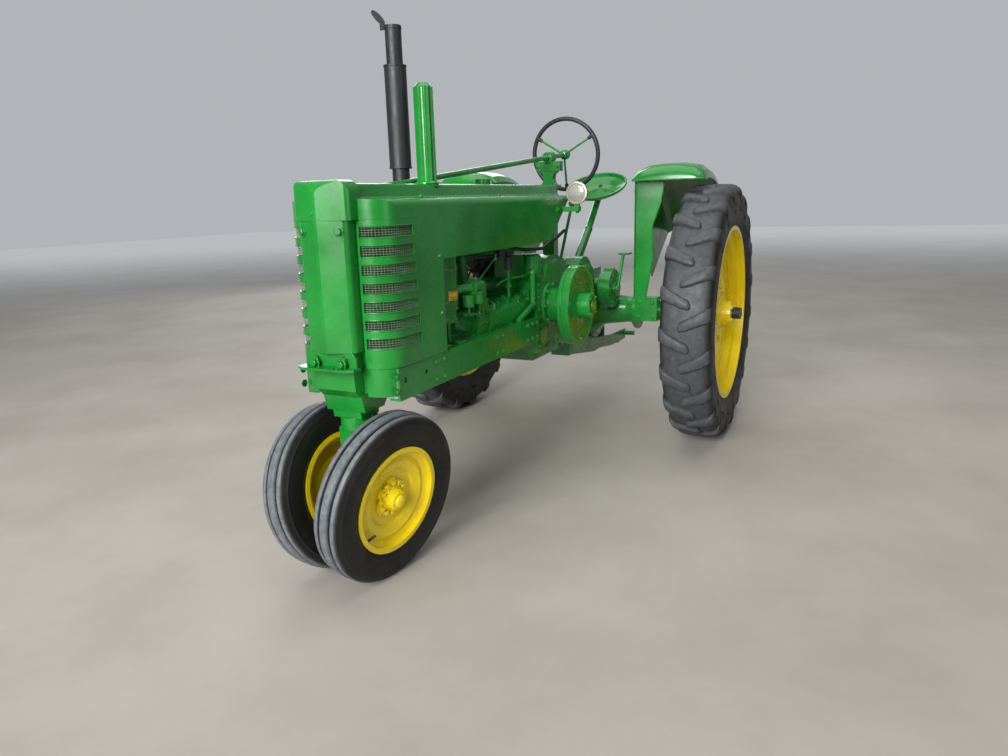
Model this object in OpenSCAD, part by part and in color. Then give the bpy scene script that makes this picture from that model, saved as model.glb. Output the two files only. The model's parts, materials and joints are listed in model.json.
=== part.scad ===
// Row-crop tractor with a narrow pair of steered front wheels and a two-cylinder
// engine lying between its frame rails. X is forward, Y is to the driver's left,
// Z is up. Lengths along X are measured from the rear axle and then shifted so
// that the origin lies under the middle of the whole machine.

/* [Chassis] */
// Distance from the rear axle to the steering axis
wheelbase = 2286; // [2200:1:2400]
// Distance between the centre planes of the rear wheels
rear_track = 1770; // [1700:1:1860]
// Overall width over the ends of the rear axle shafts
axle_span = 2120; // [2080:1:2240]
// Half the distance between the front wheels at the ground line
front_half = 133; // [125:1:150]
// Camber of the front wheels, tops outward
camber = 8.5; // [4:0.5:10]
// Angle the front wheels are steered to, negative to the right
steer_rest = -8; // [-20:1:20]
// Radius of the vertical steering spindle
spindle_r = 30; // [24:1:34]

/* [Front wheels] */
// Outer radius of the front tyre
ftyre_r = 335; // [325:1:345]
// Half the width of the front tyre at its widest
ftyre_half = 66; // [62:1:72]
// Radius of the front rim flange
frim_r = 213; // [205:1:220]
// Distance from the wheel's centre plane to the edge of the front rim
frim_half = 57; // [50:1:60]

/* [Rear wheels] */
// Outer radius of the rear tyre over its lugs
rtyre_r = 738; // [720:1:750]
// Half the width of the rear tyre
rtyre_half = 137; // [128:1:142]
// Height of the lugs
lug_h = 29; // [20:1:40]
// Lugs in each of the two rows
lug_n = 20; // [14:1:24]
// Thickness of a lug, measured round the tyre
lug_t = 54; // [35:1:60]
// Radius of the rear rim flange
rrim_r = 504; // [495:1:510]
// Distance from the wheel's centre plane to the edge of the rear rim
rrim_half = 120; // [110:1:125]
// Radius of the rear axle shaft
axle_r = 33; // [28:1:36]

/* [Bonnet and grille] */
// Half the width of the bonnet and grille
hood_half = 220; // [212:1:228]
// Height of the bonnet's shoulders
shoulder_z = 1440; // [1425:1:1455]
// Height of the raised ridge along the bonnet
ridge_z = 1496; // [1485:1:1510]
// Half the width of the ridge at its foot
ridge_half = 116; // [110:1:122]
// Height of the bonnet's lower edge along the engine
hood_low_z = 1206; // [1180:1:1230]
// Height of the seam between bonnet and grille
seam_z = 1369; // [1360:1:1376]
// Height of the grille's lower edge
grille_low_z = 839; // [834:1:845]
// Rear edge of the grille panels
grille_back_x = 1955; // [1935:1:1975]
// Front face of the grille panels
grille_front_x = 2352; // [2340:1:2362]
// Radius of the grille's front corners
corner_r = 98; // [80:1:105]
// Thickness of the bonnet and grille sheet
sheet_t = 4; // [3:0.5:6]
// Number of slots in each grille panel
slot_n = 7; // [5:1:8]
// Height of one grille slot
slot_h = 40; // [34:1:44]
// Distance from one slot to the next
slot_pitch = 66; // [62:0.5:68]

/* [Frame] */
// Height of the lower edge of the frame rails
rail_low_z = 712; // [705:1:716]
// Height of the upper edge of the frame rails
rail_top_z = 836; // [828:1:838]
// Outer half width over the frame rails
rail_half = 214; // [208:1:217]
// Thickness of the rails' web and flanges
rail_t = 10; // [6:1:14]
// Width of the rails' flanges
rail_flange = 45; // [35:1:60]

/* [Engine] */
// Place of the crankshaft along the tractor
crank_x = 835; // [820:1:850]
// Height of the crankshaft
crank_z = 876; // [866:1:888]
// Radius of the crankshaft ends
crank_r = 28; // [22:1:32]
// Radius of the flywheel
flywheel_r = 206; // [200:1:212]
// Outer face of the flywheel
flywheel_y = 382; // [376:1:390]
// Width of the flywheel's rim
flywheel_w = 64; // [50:1:68]
// Radius of the belt pulley
pulley_r = 137; // [125:1:150]
// Width of the belt pulley
pulley_w = 165; // [150:1:175]

/* [Stacks] */
// Place of the exhaust and air stacks along the tractor
stack_x = 1790; // [1775:1:1800]
// Distance of each stack from the middle
stack_y = 63; // [62:1:66]
// Radius of the silencer
muffler_r = 45; // [41:1:52]
// Radius of the exhaust pipe above the silencer
tail_r = 33; // [28:1:36]
// Height of the top of the exhaust
exhaust_top_z = 2112; // [2050:1:2150]
// Height of the top of the air stack
stack_top_z = 1886; // [1850:1:1920]
// Radius of the fluted air stack
stack_r = 40; // [37:1:44]

/* [Steering wheel] */
// Radius of the steering wheel to the middle of its rim
wheel_r = 212; // [200:1:225]
// Radius of the rim's section
wheel_rim_r = 11; // [9:1:14]
// Place of the steering wheel's centre along the tractor
wheel_x = 75; // [60:1:100]
// Height of the steering wheel's centre
wheel_z = 1680; // [1670:1:1690]
// Downward slope of the steering shaft towards the front
shaft_slope = 5.7; // [5.4:0.1:6]
// Radius of the steering shaft
shaft_r = 13; // [11:0.5:14]

/* [Seat and fenders] */
// Place of the seat's centre along the tractor
seat_x = -500; // [-530:1:-440]
// Height of the seat pan's front lip
seat_z = 1412; // [1380:1:1440]
// Tilt of the seat pan, its back raised
seat_tilt = 25; // [15:1:30]
// Half the width of the seat pan
seat_half = 205; // [190:1:225]
// Radius of the fender's crown from the rear axle
crown_r = 866; // [855:1:880]
// Distance of the fender's side plate from the middle
fender_y = 452; // [440:1:462]
// Thickness of the fender sheet
fender_t = 4; // [3:0.5:6]
// Angle of the fender's front end, up from straight ahead of the axle
fender_front_a = 81; // [78:1:84]
// Angle of the fender's rear end, round from straight ahead of the axle
fender_back_a = 147; // [135:1:148]

/* [Hitch] */
// Radius of the drawbar's pin hole
pin_r = 14; // [11:1:16]
// Thickness of the drawbar
bar_t = 32; // [25:1:38]
// Height of the drawbar's middle
bar_z = 400; // [380:1:430]
// Radius of the power take-off shaft
pto_r = 17.4; // [15:0.1:18]
// Height of the power take-off shaft
pto_z = 700; // [690:1:706]

/* [Hidden] */

GREEN = "#1f8a3a";
YELLOW = "#f0cf12";
BLACK = "#1d1f20";
STEEL = "#8b8f90";

// Running clearance of a shaft in its bore, and the gap between loose neighbours
run = 0.08;
gap = 0.3;
eps = 1;

// Points of an arc, by centre, radius and angles
function arc(cx, cy, r, a0, a1, n) =
    [for (i = [0:n]) let (a = a0 + (a1 - a0) * i / n) [cx + r * cos(a), cy + r * sin(a)]];

// The same points on the other side of the middle, in reverse order
function mirrored(p) = [for (i = [len(p) - 1:-1:0]) [-p[i][0], p[i][1]]];

// Front tyre: half profile as [distance from the middle, radius]
frim_seat_r = frim_r - 16;
facet_gap = 1.2;
ftyre_side = [[frim_half - 4 - gap, frim_seat_r + facet_gap], [frim_half - 4 - gap, frim_r + facet_gap],
    [ftyre_half, ftyre_r - 70], [ftyre_half - 12, ftyre_r - 17], [14, ftyre_r]];

// Height of the front wheel's centre at which its cambered tyre touches the ground
fwheel_z = max([for (p = ftyre_side) p[1] * cos(camber) + p[0] * sin(camber)]);

// Forward reach of the steered front pair and the shift to the machine's middle
front_reach = wheelbase + front_half * abs(sin(steer_rest)) + ftyre_r * cos(steer_rest)
    + 14 * abs(sin(steer_rest));
mid_x = (front_reach - rtyre_r) / 2;

// Front strip, nose cap and front bracket
strip_half = 105;
panel_y = strip_half + 4 + gap;
strip_x = grille_front_x + 56;
nose_x = grille_front_x + 84;
nose_back_x = grille_front_x - 23;
nose_r = 46;
cap_half = strip_half + 15;
bracket_x = strip_x - 8 + gap;
bracket_z = 845;
bracket_bolt_y = 62;

// Bonnet, grille and what shows through them
slot_top_z = seam_z - 22;
screen_back_x = grille_back_x + 155;
seam_x = 2299;
tongue_x = 467;
hood_rear_low_x = 866;
hood_rear_top_x = 588;
hood_rear_slope = (hood_rear_low_x - hood_rear_top_x) / (shoulder_z - 12 - hood_low_z);

// Engine
case_front_x = 1010;
case_half = 200;
case_top_z = 1090;
case_step_z = 1030;
case_step_x = 872;
trans_half = 150;
trans_top_z = 985;
trans_low_z = 600;
block_front_x = 1470;
block_half = 158;
block_top_z = crank_z + 76;
barrel_r = 94;
head_half = 160;
head_top_z = crank_z + 110;
head_t = 95;
cover_t = 70;
cover_half = 140;
lower_pipe_z = 752;
core_x = grille_back_x + 15;
tank_low_z = 1295;
fan_z = 1165;
fan_x = grille_back_x - 50;
fan_shaft_r = 10;
cleaner_x = 1795;
cleaner_y = 98;
cleaner_r = 76;
cleaner_top_z = 1231;
carb_x = 1618;
carb_y = 176;
governor_x = 944;
governor_y = 152;

// Stacks, steering and the driver's place
muffler_top_z = exhaust_top_z - 149;
muffler_low_z = muffler_top_z - 402;
hinge_y = -stack_y - tail_r - 8;
boot_x = wheel_x + (wheel_z - ridge_z) / tan(shaft_slope);
stand_x = 335;
stand_top_z = wheel_z - (stand_x - wheel_x) * tan(shaft_slope) - 30;
housing_end = 455;
seat_deep = 62;
brake_x = 170;
brake_z = 885;
brake_r = 114;
platform_z = rtyre_r + 16;
bar_top_z = bar_z + bar_t / 2;

module at_frame() {
    translate([-mid_x, 0, 0]) children();
}

module sides() {
    for (s = [-1, 1]) mirror([0, s < 0 ? 1 : 0, 0]) children();
}

// Cylinder along Y from y0 to y1
module bar_y(r, y0, y1, x = 0, z = 0, fn = 48) {
    translate([x, y0, z]) rotate([-90, 0, 0]) cylinder(r = r, h = y1 - y0, $fn = fn);
}

// Cylinder along X from x0 to x1
module bar_x(r, x0, x1, y = 0, z = 0, fn = 48) {
    translate([x0, y, z]) rotate([0, 90, 0]) cylinder(r = r, h = x1 - x0, $fn = fn);
}

// Round bar between two points
module rod(a, b, r, fn = 24) {
    d = b - a;
    len_d = norm(d);
    translate(a) rotate([0, acos(d[2] / len_d), atan2(d[1], d[0])])
        cylinder(r = r, h = len_d, $fn = fn);
}

// Box given by its two corners
module box(a, b) {
    translate(a) cube(b - a);
}

// Solid of revolution about Y from points of [distance along Y, radius]
module wheel_form(points, fn = 96) {
    rotate([-90, 0, 0]) rotate_extrude($fn = fn)
        polygon([for (p = points) [p[1], p[0]]]);
}

// Plan of the bonnet and grille, with rounded front corners
module plan(inset) {
    r = corner_r - inset;
    half = hood_half - inset;
    front = grille_front_x - inset;
    translate([500, -half]) square([front - r - 500, 2 * half]);
    translate([front - r - eps, -(half - r)]) square([r + eps, 2 * (half - r)]);
    for (s = [-1, 1]) translate([front - r, s * (half - r)]) circle(r = r, $fn = 96);
}

// Half section of the bonnet across the tractor, from the middle outward
function hood_half_section(t) = concat(
    [[0, ridge_z - t], [ridge_half - 30, ridge_z - t - 1]],
    arc(ridge_half - 24, ridge_z - 16, 14 - t / 2, 80, 10, 3),
    [[ridge_half - t, shoulder_z + 8 - t], [ridge_half + 8 - t, shoulder_z - t]],
    arc(hood_half - 26, shoulder_z - 28, 26 - t, 86, 0, 5));

module hood_section(t, low) {
    half = hood_half_section(t);
    polygon(concat([[hood_half - t, low]], [for (i = [len(half) - 1:-1:0]) half[i]],
        [for (i = [1:len(half) - 1]) [-half[i][0], half[i][1]]], [[-(hood_half - t), low]]));
}

// Extrusion along X of a section drawn across the tractor
module along_x(x0, x1) {
    translate([x0, 0, 0]) rotate([90, 0, 90]) linear_extrude(x1 - x0) children();
}

// Wedge that slopes with the bonnet's rear edge; everything in front of the line
module front_of_slope(dx) {
    over = 180;
    under = 200;
    rotate([90, 0, 0]) translate([0, 0, -500]) linear_extrude(1000)
        polygon([[hood_rear_low_x + dx + hood_rear_slope * under, hood_low_z - under],
            [hood_rear_top_x + dx, shoulder_z - 12],
            [tongue_x + dx, shoulder_z - 11], [tongue_x + dx, ridge_z + over],
            [nose_x + over, ridge_z + over], [nose_x + over, hood_low_z - under]]);
}

module hood() {
    color(GREEN) difference() {
        intersection() {
            along_x(tongue_x - 60, grille_front_x + eps) hood_section(0, hood_low_z);
            translate([0, 0, hood_low_z - 100]) linear_extrude(500) plan(0);
            front_of_slope(0);
        }
        intersection() {
            along_x(tongue_x - 100, grille_front_x + eps) hood_section(sheet_t, hood_low_z - eps);
            translate([0, 0, hood_low_z - 200]) linear_extrude(600) plan(sheet_t);
        }
        // The driver's end stays open beside the ridge
        sides()
            box([tongue_x - eps, ridge_half + 9, shoulder_z - 12],
                [hood_rear_top_x, hood_half + eps, shoulder_z + 20]);
        // Room for the grille panels under the seam
        box([grille_back_x, -hood_half - eps, hood_low_z - eps],
            [grille_front_x + eps, hood_half + eps, seam_z]);
        // Room for the nose cap in front
        box([nose_back_x - gap, -cap_half - gap, seam_z - eps],
            [grille_front_x + eps, cap_half + gap, ridge_z + 50]);
        // Holes for the stacks and the steering shaft
        translate([stack_x, -stack_y, shoulder_z]) cylinder(r = 40, h = 100, $fn = 48);
        translate([stack_x, stack_y, shoulder_z]) cylinder(r = stack_r + 4, h = 100, $fn = 48);
        box([boot_x - 170, -22, shoulder_z], [boot_x + 190, 22, ridge_z + 50]);
        // Filler hole of the fuel tank
        translate([1180, 0, shoulder_z]) cylinder(r = 42, h = 100, $fn = 48);
    }
}

module nose_cap() {
    color(GREEN) difference() {
        cap_form(0);
        // Hollow behind the skin
        cap_form(8);
    }
}

// Cap rounded in plan, at its sides and over its front edge
module cap_form(inset) {
    top = ridge_z + 10 - inset;
    half = cap_half - inset;
    front = nose_x - inset;
    r = nose_r - inset / 2;
    side = concat([[half, seam_z + gap - inset]], arc(half - r, top - r, r, 0, 90, 6));
    intersection() {
        along_x(nose_back_x - inset, front) polygon(concat(side, mirrored(side)));
        rotate([90, 0, 0]) translate([0, 0, -200]) linear_extrude(400)
            polygon(concat([[nose_back_x - inset, seam_z - inset], [front, seam_z - inset]],
                arc(front - r, top - r, r, 0, 90, 6), [[nose_back_x - inset, top]]));
        translate([0, 0, seam_z - 2 * inset]) linear_extrude(200) strip_plan(15 - inset, inset);
    }
}

// Plan of the pedestal's front strip with its shallow keel
module strip_plan(grow, back = 0) {
    half = strip_half + grow;
    r = 26;
    corner = arc(strip_x - r, half - r, r, 12, 90, 4);
    polygon(concat([[nose_back_x - back, -half], [nose_back_x - back, half]],
        [for (i = [len(corner) - 1:-1:0]) corner[i]], [[nose_x - back, 6], [nose_x - back, -6]],
        [for (p = corner) [p[0], -p[1]]]));
}

module grille_slots() {
    for (i = [0:slot_n - 1]) {
        z1 = slot_top_z - i * slot_pitch;
        box([grille_back_x + 211 - 4.2 * i, panel_y + 9, z1 - slot_h],
            [grille_front_x + 10, hood_half + 10, z1]);
    }
}

module grille_half() {
    color(GREEN) difference() {
        intersection() {
            translate([0, 0, grille_low_z]) linear_extrude(seam_z - gap - grille_low_z)
                difference() {
                    plan(0);
                    plan(sheet_t);
                }
            box([grille_back_x, panel_y, grille_low_z - eps],
                [grille_front_x + eps, hood_half + eps, seam_z]);
        }
        grille_slots();
    }
}

module grille_left() { grille_half(); }
module grille_right() { mirror([0, 1, 0]) grille_half(); }

module grille_screens() {
    color(STEEL) sides() difference() {
        intersection() {
            translate([0, 0, grille_low_z + 30]) linear_extrude(slot_top_z + 12 - grille_low_z - 30)
                difference() {
                    plan(sheet_t + gap);
                    plan(sheet_t + gap + 2);
                }
            box([screen_back_x, panel_y + 2, grille_low_z],
                [grille_front_x, hood_half, seam_z]);
        }
    }
}

module radiator() {
    color(GREEN) {
        // Core, top tank and bottom tank
        box([core_x, -190, 905], [core_x + 90, 190, 1290]);
        box([core_x - 10, -190, 1290], [core_x + 105, 190, 1422]);
        box([core_x - 10, -195, rail_top_z + 9], [core_x + 105, 195, 905]);
        // Fan ring
        difference() {
            bar_x(160, core_x - 40, core_x + eps, 0, fan_z, 96);
            bar_x(152, core_x - 41, core_x + 2 * eps, 0, fan_z, 96);
        }
    }
}

module water_pipes() {
    tank_x = core_x - 10 - gap;
    outlet = [block_front_x + head_t / 2, 52, head_top_z + gap];
    elbow = [outlet[0], outlet[1], 1225];
    bend = [1660, 0, 1280];
    inlet = [tank_x - 70, 0, 1362];
    color(GREEN) {
        // Upper pipe from the head's outlet to the top tank
        translate(outlet) cylinder(r = 34, h = 18, $fn = 48);
        translate(outlet) cylinder(r = 24, h = elbow[2] - outlet[2], $fn = 48);
        rod(elbow, bend, 23);
        rod(bend, inlet, 23);
        for (p = [elbow, bend, inlet]) translate(p) sphere(r = 26, $fn = 32);
        bar_x(24, inlet[0], tank_x, 0, inlet[2], 48);
        // Lower pipe from the bottom tank under the head to the block
        bar_x(25, block_front_x - 60 + gap, tank_x - 40, 100, lower_pipe_z, 48);
        translate([tank_x - 40, 100, lower_pipe_z - 30]) cylinder(r = 27, h = 148, $fn = 48);
        bar_x(25, tank_x - 40, tank_x, 100, 876, 48);
    }
}

// Frame rail: a channel with its open side inward
module frame_rails() {
    color(GREEN) sides() difference() {
        box([case_front_x + gap, rail_half - rail_flange, rail_low_z],
            [seam_x, rail_half, rail_top_z]);
        box([case_front_x, rail_half - rail_flange - eps, rail_low_z + rail_t],
            [seam_x + eps, rail_half - rail_t, rail_top_z - rail_t]);
        for (x = [2110, 2258]) bar_y(11, rail_half - 40, rail_half + eps, x, 784);
    }
}

module front_frame() {
    color(GREEN) difference() {
        intersection() {
            translate([0, 0, rail_low_z + 20]) linear_extrude(grille_low_z - gap - rail_low_z - 20)
                plan(6);
            box([seam_x + gap, -hood_half, 600], [grille_front_x, hood_half, 900]);
        }
        box([seam_x, -strip_half - gap, 600], [grille_front_x + 10, strip_half + gap, 900]);
    }
}

module pedestal() {
    color(GREEN) difference() {
        union() {
            // Front strip up to the nose cap
            translate([0, 0, bracket_z + 60]) linear_extrude(seam_z - bracket_z - 60) strip_plan(0);
            // Lower body, narrowing and stepping back towards the spindle
            rotate([90, 0, 0]) translate([0, 0, -88]) linear_extrude(176)
                polygon([[2200, 740], [2200, 700], [2226, 668], [2346, 668], [2364, 730],
                    [strip_x - 14, 760], [strip_x - 8, 850], [strip_x - 8, 960], [2200, 960]]);
            sides()
                box([2214, 80, 742], [grille_front_x - 12, strip_half, bracket_z + 60.5]);
            rotate([90, 0, 0]) translate([0, 0, -64]) linear_extrude(128)
                polygon([[2232, 640], [2340, 640], [2350, 700], [2220, 700]]);
            // Upright that carries the worm gear
            box([2190, -70, 900], [grille_front_x - 20, 70, 1380]);
            box([2180, -58, 1370], [2300, 58, ridge_z - 21]);
        }
        // Bore of the steering spindle
        translate([wheelbase, 0, 600]) cylinder(r = spindle_r + run, h = 330, $fn = 64);
        // Bore of the steering shaft
        shaft_axis() translate([0, 0, 1500]) cylinder(r = shaft_r + run, h = 735, $fn = 48);
        // Holes for the front bracket's bolts
        for (y = [-bracket_bolt_y, bracket_bolt_y])
            bar_x(7, strip_x - 58, nose_x + 34, y, bracket_z + 35, 24);
    }
}

module front_bracket() {
    color(GREEN) difference() {
        union() {
            translate([bracket_x, 0, 0]) rotate([90, 0, 90]) linear_extrude(10)
                polygon([[-112, bracket_z + 5], [112, bracket_z + 5], [112, bracket_z + 42],
                    [96, bracket_z + 60 - gap], [-96, bracket_z + 60 - gap], [-112, bracket_z + 42]]);
            translate([0, 0, bracket_z]) linear_extrude(10)
                polygon([[bracket_x, -124], [bracket_x, 124], [bracket_x + 44, 124],
                    [bracket_x + 62, 92], [bracket_x + 62, -92], [bracket_x + 44, -124]]);
            // Heads of the two bolts
            for (y = [-bracket_bolt_y, bracket_bolt_y])
                bar_x(15, bracket_x + 9, bracket_x + 26, y, bracket_z + 35, 6);
        }
        for (y = [-40, 40]) translate([bracket_x + 40, y, bracket_z - 5])
            cylinder(r = 9, h = 20, $fn = 32);
    }
}

module main_case() {
    color(GREEN) difference() {
        union() {
            // Crankcase, its top stepping down to the front
            rotate([90, 0, 0]) translate([0, 0, -case_half]) linear_extrude(2 * case_half)
                polygon([[560, 640], [case_front_x, 640], [case_front_x, case_step_z - 26],
                    [case_front_x - 22, case_step_z], [case_step_x + 16, case_step_z],
                    [case_step_x, case_top_z], [600, case_top_z], [560, case_top_z - 60]]);
            // Rounded top of the crankcase
            intersection() {
                bar_y(270, -180, 180, 740, 860, 96);
                box([600, -180, 1000], [880, 180, 1200]);
            }
            // Transmission
            box([-150, -trans_half, trans_low_z], [561, trans_half, trans_top_z]);
            // Differential case round the axle
            bar_y(205, -trans_half, trans_half, 0, rtyre_r, 96);
            // Reduction gear cover on the left, behind the flywheel
            bar_y(138, trans_half - 10, 236, 395, 955, 64);
            bar_y(96, 235, 262, 395, 955, 64);
            // Bearing bosses of the crankshaft with their ring of bolts
            bar_y(120, case_half - 1, case_half + 18, crank_x, crank_z, 64);
            bar_y(88, case_half - 1, flywheel_y - flywheel_w - 24, crank_x, crank_z, 64);
            bar_y(95, -232, 1 - case_half, crank_x, crank_z, 64);
            for (a = [0:45:315])
                bar_y(9, case_half, case_half + 28, crank_x + 104 * cos(a), crank_z + 104 * sin(a), 12);
            // Inspection covers on the left side
            box([580, case_half - eps, 690], [700, case_half + 12, 770]);
            bar_y(44, case_half - eps, case_half + 14, 945, 720, 32);
            // Oil pan
            box([600, -150, 588], [960, 150, 641]);
            box([586, -162, 628], [974, 162, 641]);
            // Gear lever tower
            translate([180, 0, trans_top_z - eps]) cylinder(r = 55, h = 60 + eps, $fn = 48);
        }
        // Bore of the crankshaft ends
        bar_y(crank_r + run, 230, 400, crank_x, crank_z, 48);
        bar_y(crank_r + run, -300, -180, crank_x, crank_z, 48);
        // Bore of the power take-off
        bar_x(pto_r - 0.5 + run, -400, -60, 0, pto_z, 48);
    }
}

module engine_block() {
    color(GREEN) {
        box([case_front_x + gap, -block_half, crank_z - 96], [block_front_x, block_half, block_top_z]);
        // Two cylinder barrels lie along the tractor and show as rounded backs
        for (y = [-82, 82]) bar_x(barrel_r, case_front_x + gap, block_front_x, y, crank_z, 64);
        // Ribs and the flange towards the crankcase
        for (x = [1130, 1250, 1370])
            box([x, -block_half - 7, crank_z - 80], [x + 22, block_half + 7, block_top_z + 8]);
        box([case_front_x + gap, -block_half - 9, crank_z - 104],
            [case_front_x + 24, block_half + 9, block_top_z + 22]);
        box([case_front_x + 60, -150, rail_low_z + 30], [block_front_x - 60, 150, crank_z - 95]);
    }
}

module cylinder_head() {
    color(GREEN) {
        box([block_front_x + gap, -head_half, crank_z - 86],
            [block_front_x + head_t, head_half, head_top_z]);
        // Valve cover in front, with its rim
        box([block_front_x + head_t - 1, -cover_half, crank_z - 56],
            [block_front_x + head_t + 14, cover_half, head_top_z - 22]);
        box([block_front_x + head_t, -cover_half + 14, crank_z - 42],
            [block_front_x + head_t + cover_t, cover_half - 14, head_top_z - 36]);
    }
}

module fuel_tank() {
    side = arc(150, tank_low_z + 55, 55, -90, 90, 8);
    color(GREEN) {
        along_x(820, 1560) polygon(concat(side, mirrored(side)));
        // Feet on the crankcase and on the head
        box([898, -110, case_step_z + gap], [926, -60, tank_low_z + 5]);
        box([1500, -55, head_top_z + gap], [1530, -26, tank_low_z + 5]);
        // Filler neck and cap
        translate([1180, 0, 1400]) cylinder(r = 30, h = ridge_z - 1400, $fn = 48);
        translate([1180, 0, ridge_z]) cylinder(r = 38, h = 26, $fn = 48);
    }
}

module exhaust() {
    manifold = [block_front_x + 60, -100, head_top_z + 36];
    color(BLACK) difference() {
        union() {
            translate([stack_x, -stack_y, ridge_z - 4])
                cylinder(r = 36, h = muffler_low_z - ridge_z + 5, $fn = 48);
            // Silencer with a rolled end at each side
            translate([stack_x, -stack_y, muffler_low_z])
                cylinder(r = muffler_r, h = muffler_top_z - muffler_low_z, $fn = 64);
            for (z = [muffler_low_z, muffler_top_z - 6]) translate([stack_x, -stack_y, z])
                cylinder(r = muffler_r + 2, h = 6, $fn = 64);
            translate([stack_x, -stack_y, muffler_top_z - 5])
                cylinder(r = tail_r, h = exhaust_top_z - muffler_top_z + 5, $fn = 48);
            translate([stack_x, -stack_y, exhaust_top_z - 14])
                cylinder(r = tail_r + 2, h = 8, $fn = 48);
            // Pipe down to the manifold on the head
            translate([stack_x, -stack_y, 1150]) cylinder(r = 30, h = ridge_z - 1149, $fn = 48);
            rod([stack_x, -stack_y, 1172], manifold, 27);
            box([block_front_x + 6, -150, head_top_z + gap],
                [block_front_x + head_t - 6, -60, head_top_z + 62]);
            // Ears that hold the flap's pin
            for (s = [-1, 1]) translate([stack_x + s * 18.5 - 2, hinge_y - 7, exhaust_top_z - 16]) {
                cube([4, 14, 29]);
                cube([4, 28, 18]);
            }
        }
        translate([stack_x, -stack_y, muffler_top_z + 30])
            cylinder(r = tail_r - 3, h = exhaust_top_z - muffler_top_z, $fn = 48);
    }
}

// Flap on the exhaust's mouth, hinged on the right and standing open
module rain_cap() {
    color(BLACK) translate([stack_x, hinge_y, exhaust_top_z + 6]) rotate([125, 0, 0]) {
        translate([0, tail_r + 8, 2]) cylinder(r = tail_r + 2, h = 3, $fn = 48);
        box([-14, 0, 2], [14, 20, 5]);
        bar_x(5, -16.5 + gap, 16.5 - gap, 0, 0, 24);
    }
}

module air_stack() {
    flute_r = 15;
    low_z = ridge_z + 4;
    color(GREEN) {
        translate([stack_x, stack_y, cleaner_top_z + gap])
            cylinder(r = stack_r - 8, h = low_z - cleaner_top_z, $fn = 48);
        // Fluted pipe with six ridges and a lobed cap
        translate([stack_x, stack_y, low_z]) difference() {
            cylinder(r = stack_r, h = stack_top_z - low_z - 16, $fn = 64);
            for (a = [20:60:320]) rotate([0, 0, a]) translate([stack_r + 9, 0, -eps])
                cylinder(r = flute_r, h = stack_top_z - low_z, $fn = 32);
        }
        translate([stack_x, stack_y, stack_top_z - 17])
            cylinder(r1 = stack_r - 3, r2 = stack_r - 18, h = 17, $fn = 64);
    }
}

module air_cleaner() {
    color(GREEN) {
        translate([cleaner_x, cleaner_y, 985]) cylinder(r = cleaner_r, h = 215, $fn = 64);
        // Oil cup with its clamp band
        translate([cleaner_x, cleaner_y, 925]) cylinder(r = cleaner_r - 6, h = 61, $fn = 64);
        translate([cleaner_x, cleaner_y, 980]) cylinder(r = cleaner_r + 4, h = 10, $fn = 64);
        translate([cleaner_x, cleaner_y, 1200])
            cylinder(r1 = cleaner_r, r2 = 52, h = cleaner_top_z - 1200, $fn = 64);
        // Bracket to the frame rail
        box([cleaner_x - 30, cleaner_y + 30, rail_top_z + gap], [cleaner_x + 30, cleaner_y + 100, 846]);
        box([cleaner_x - 12, cleaner_y + 30, 840], [cleaner_x + 12, cleaner_y + 42, 950]);
    }
}

module carburettor() {
    pipe_a = 148;
    inlet = [cleaner_x + 60 * cos(pipe_a), cleaner_y + 60 * sin(pipe_a), 1058];
    flange = [block_front_x + head_t - 18, 118, head_top_z + 30];
    color(GREEN) difference() {
        union() {
            // Body with its float bowl, throat and fuel strainer
            translate([carb_x, carb_y, 985]) cylinder(r = 33, h = 44, $fn = 48);
            translate([carb_x, carb_y, 1028]) cylinder(r = 38, h = 10, $fn = 48);
            translate([carb_x, carb_y, 1037]) cylinder(r = 22, h = 44, $fn = 48);
            bar_x(27, carb_x - 44, carb_x + 46, carb_y, 1058, 48);
            bar_x(33, carb_x + 40, carb_x + 50, carb_y, 1058, 48);
            translate([carb_x + 74, carb_y + 4, 978]) cylinder(r = 24, h = 52, $fn = 12);
            box([carb_x + 20, carb_y - 10, 1004], [carb_x + 70, carb_y + 10, 1022]);
            // Intake pipe from the air cleaner
            rod([carb_x + 46, carb_y, 1058], inlet, 21);
            // Manifold over to the head
            rod([carb_x - 20, carb_y - 4, 1058], [flange[0], flange[1], flange[2] + 26], 19);
            box([block_front_x + 6, 92, head_top_z + gap],
                [block_front_x + head_t - 6, 155, head_top_z + 62]);
        }
        translate([cleaner_x, cleaner_y, 1000]) cylinder(r = cleaner_r + gap, h = 150, $fn = 64);
    }
}

module governor() {
    pipe_y = 194;
    knee = [case_front_x + 34, pipe_y, 1062];
    heel = [case_front_x + 34, pipe_y, 902];
    foot = [1196, pipe_y - 2, rail_top_z + 16];
    color(GREEN) {
        // Tall governor housing with its rounded cap and foot flange
        translate([governor_x, governor_y, case_step_z + gap]) cylinder(r = 50, h = 10, $fn = 48);
        translate([governor_x, governor_y, case_step_z + 10]) cylinder(r = 43, h = 98, $fn = 48);
        translate([governor_x, governor_y, case_step_z + 107]) cylinder(r1 = 43, r2 = 30, h = 12, $fn = 48);
        // Housing of the fan's drive
        box([905, -40, case_step_z + gap], [1000, governor_y - 30, fan_z - 18]);
        bar_x(32, 905, 1005, 0, fan_z, 48);
        bar_x(20, 1000, fan_x - 24, 0, fan_z, 48);
        bar_x(fan_shaft_r, fan_x - 30, fan_x + 18, 0, fan_z, 48);
        // Breather pipe down to the frame rail
        rod([governor_x + 20, governor_y + 8, 1070], knee, 15);
        rod(knee, heel, 15);
        rod(heel, foot, 14);
        for (p = [knee, heel]) translate(p) sphere(r = 17, $fn = 32);
        box([foot[0] - 14, foot[1] - 10, rail_top_z + gap], [foot[0] + 22, foot[1] + 12, rail_top_z + 20]);
    }
}

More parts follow.
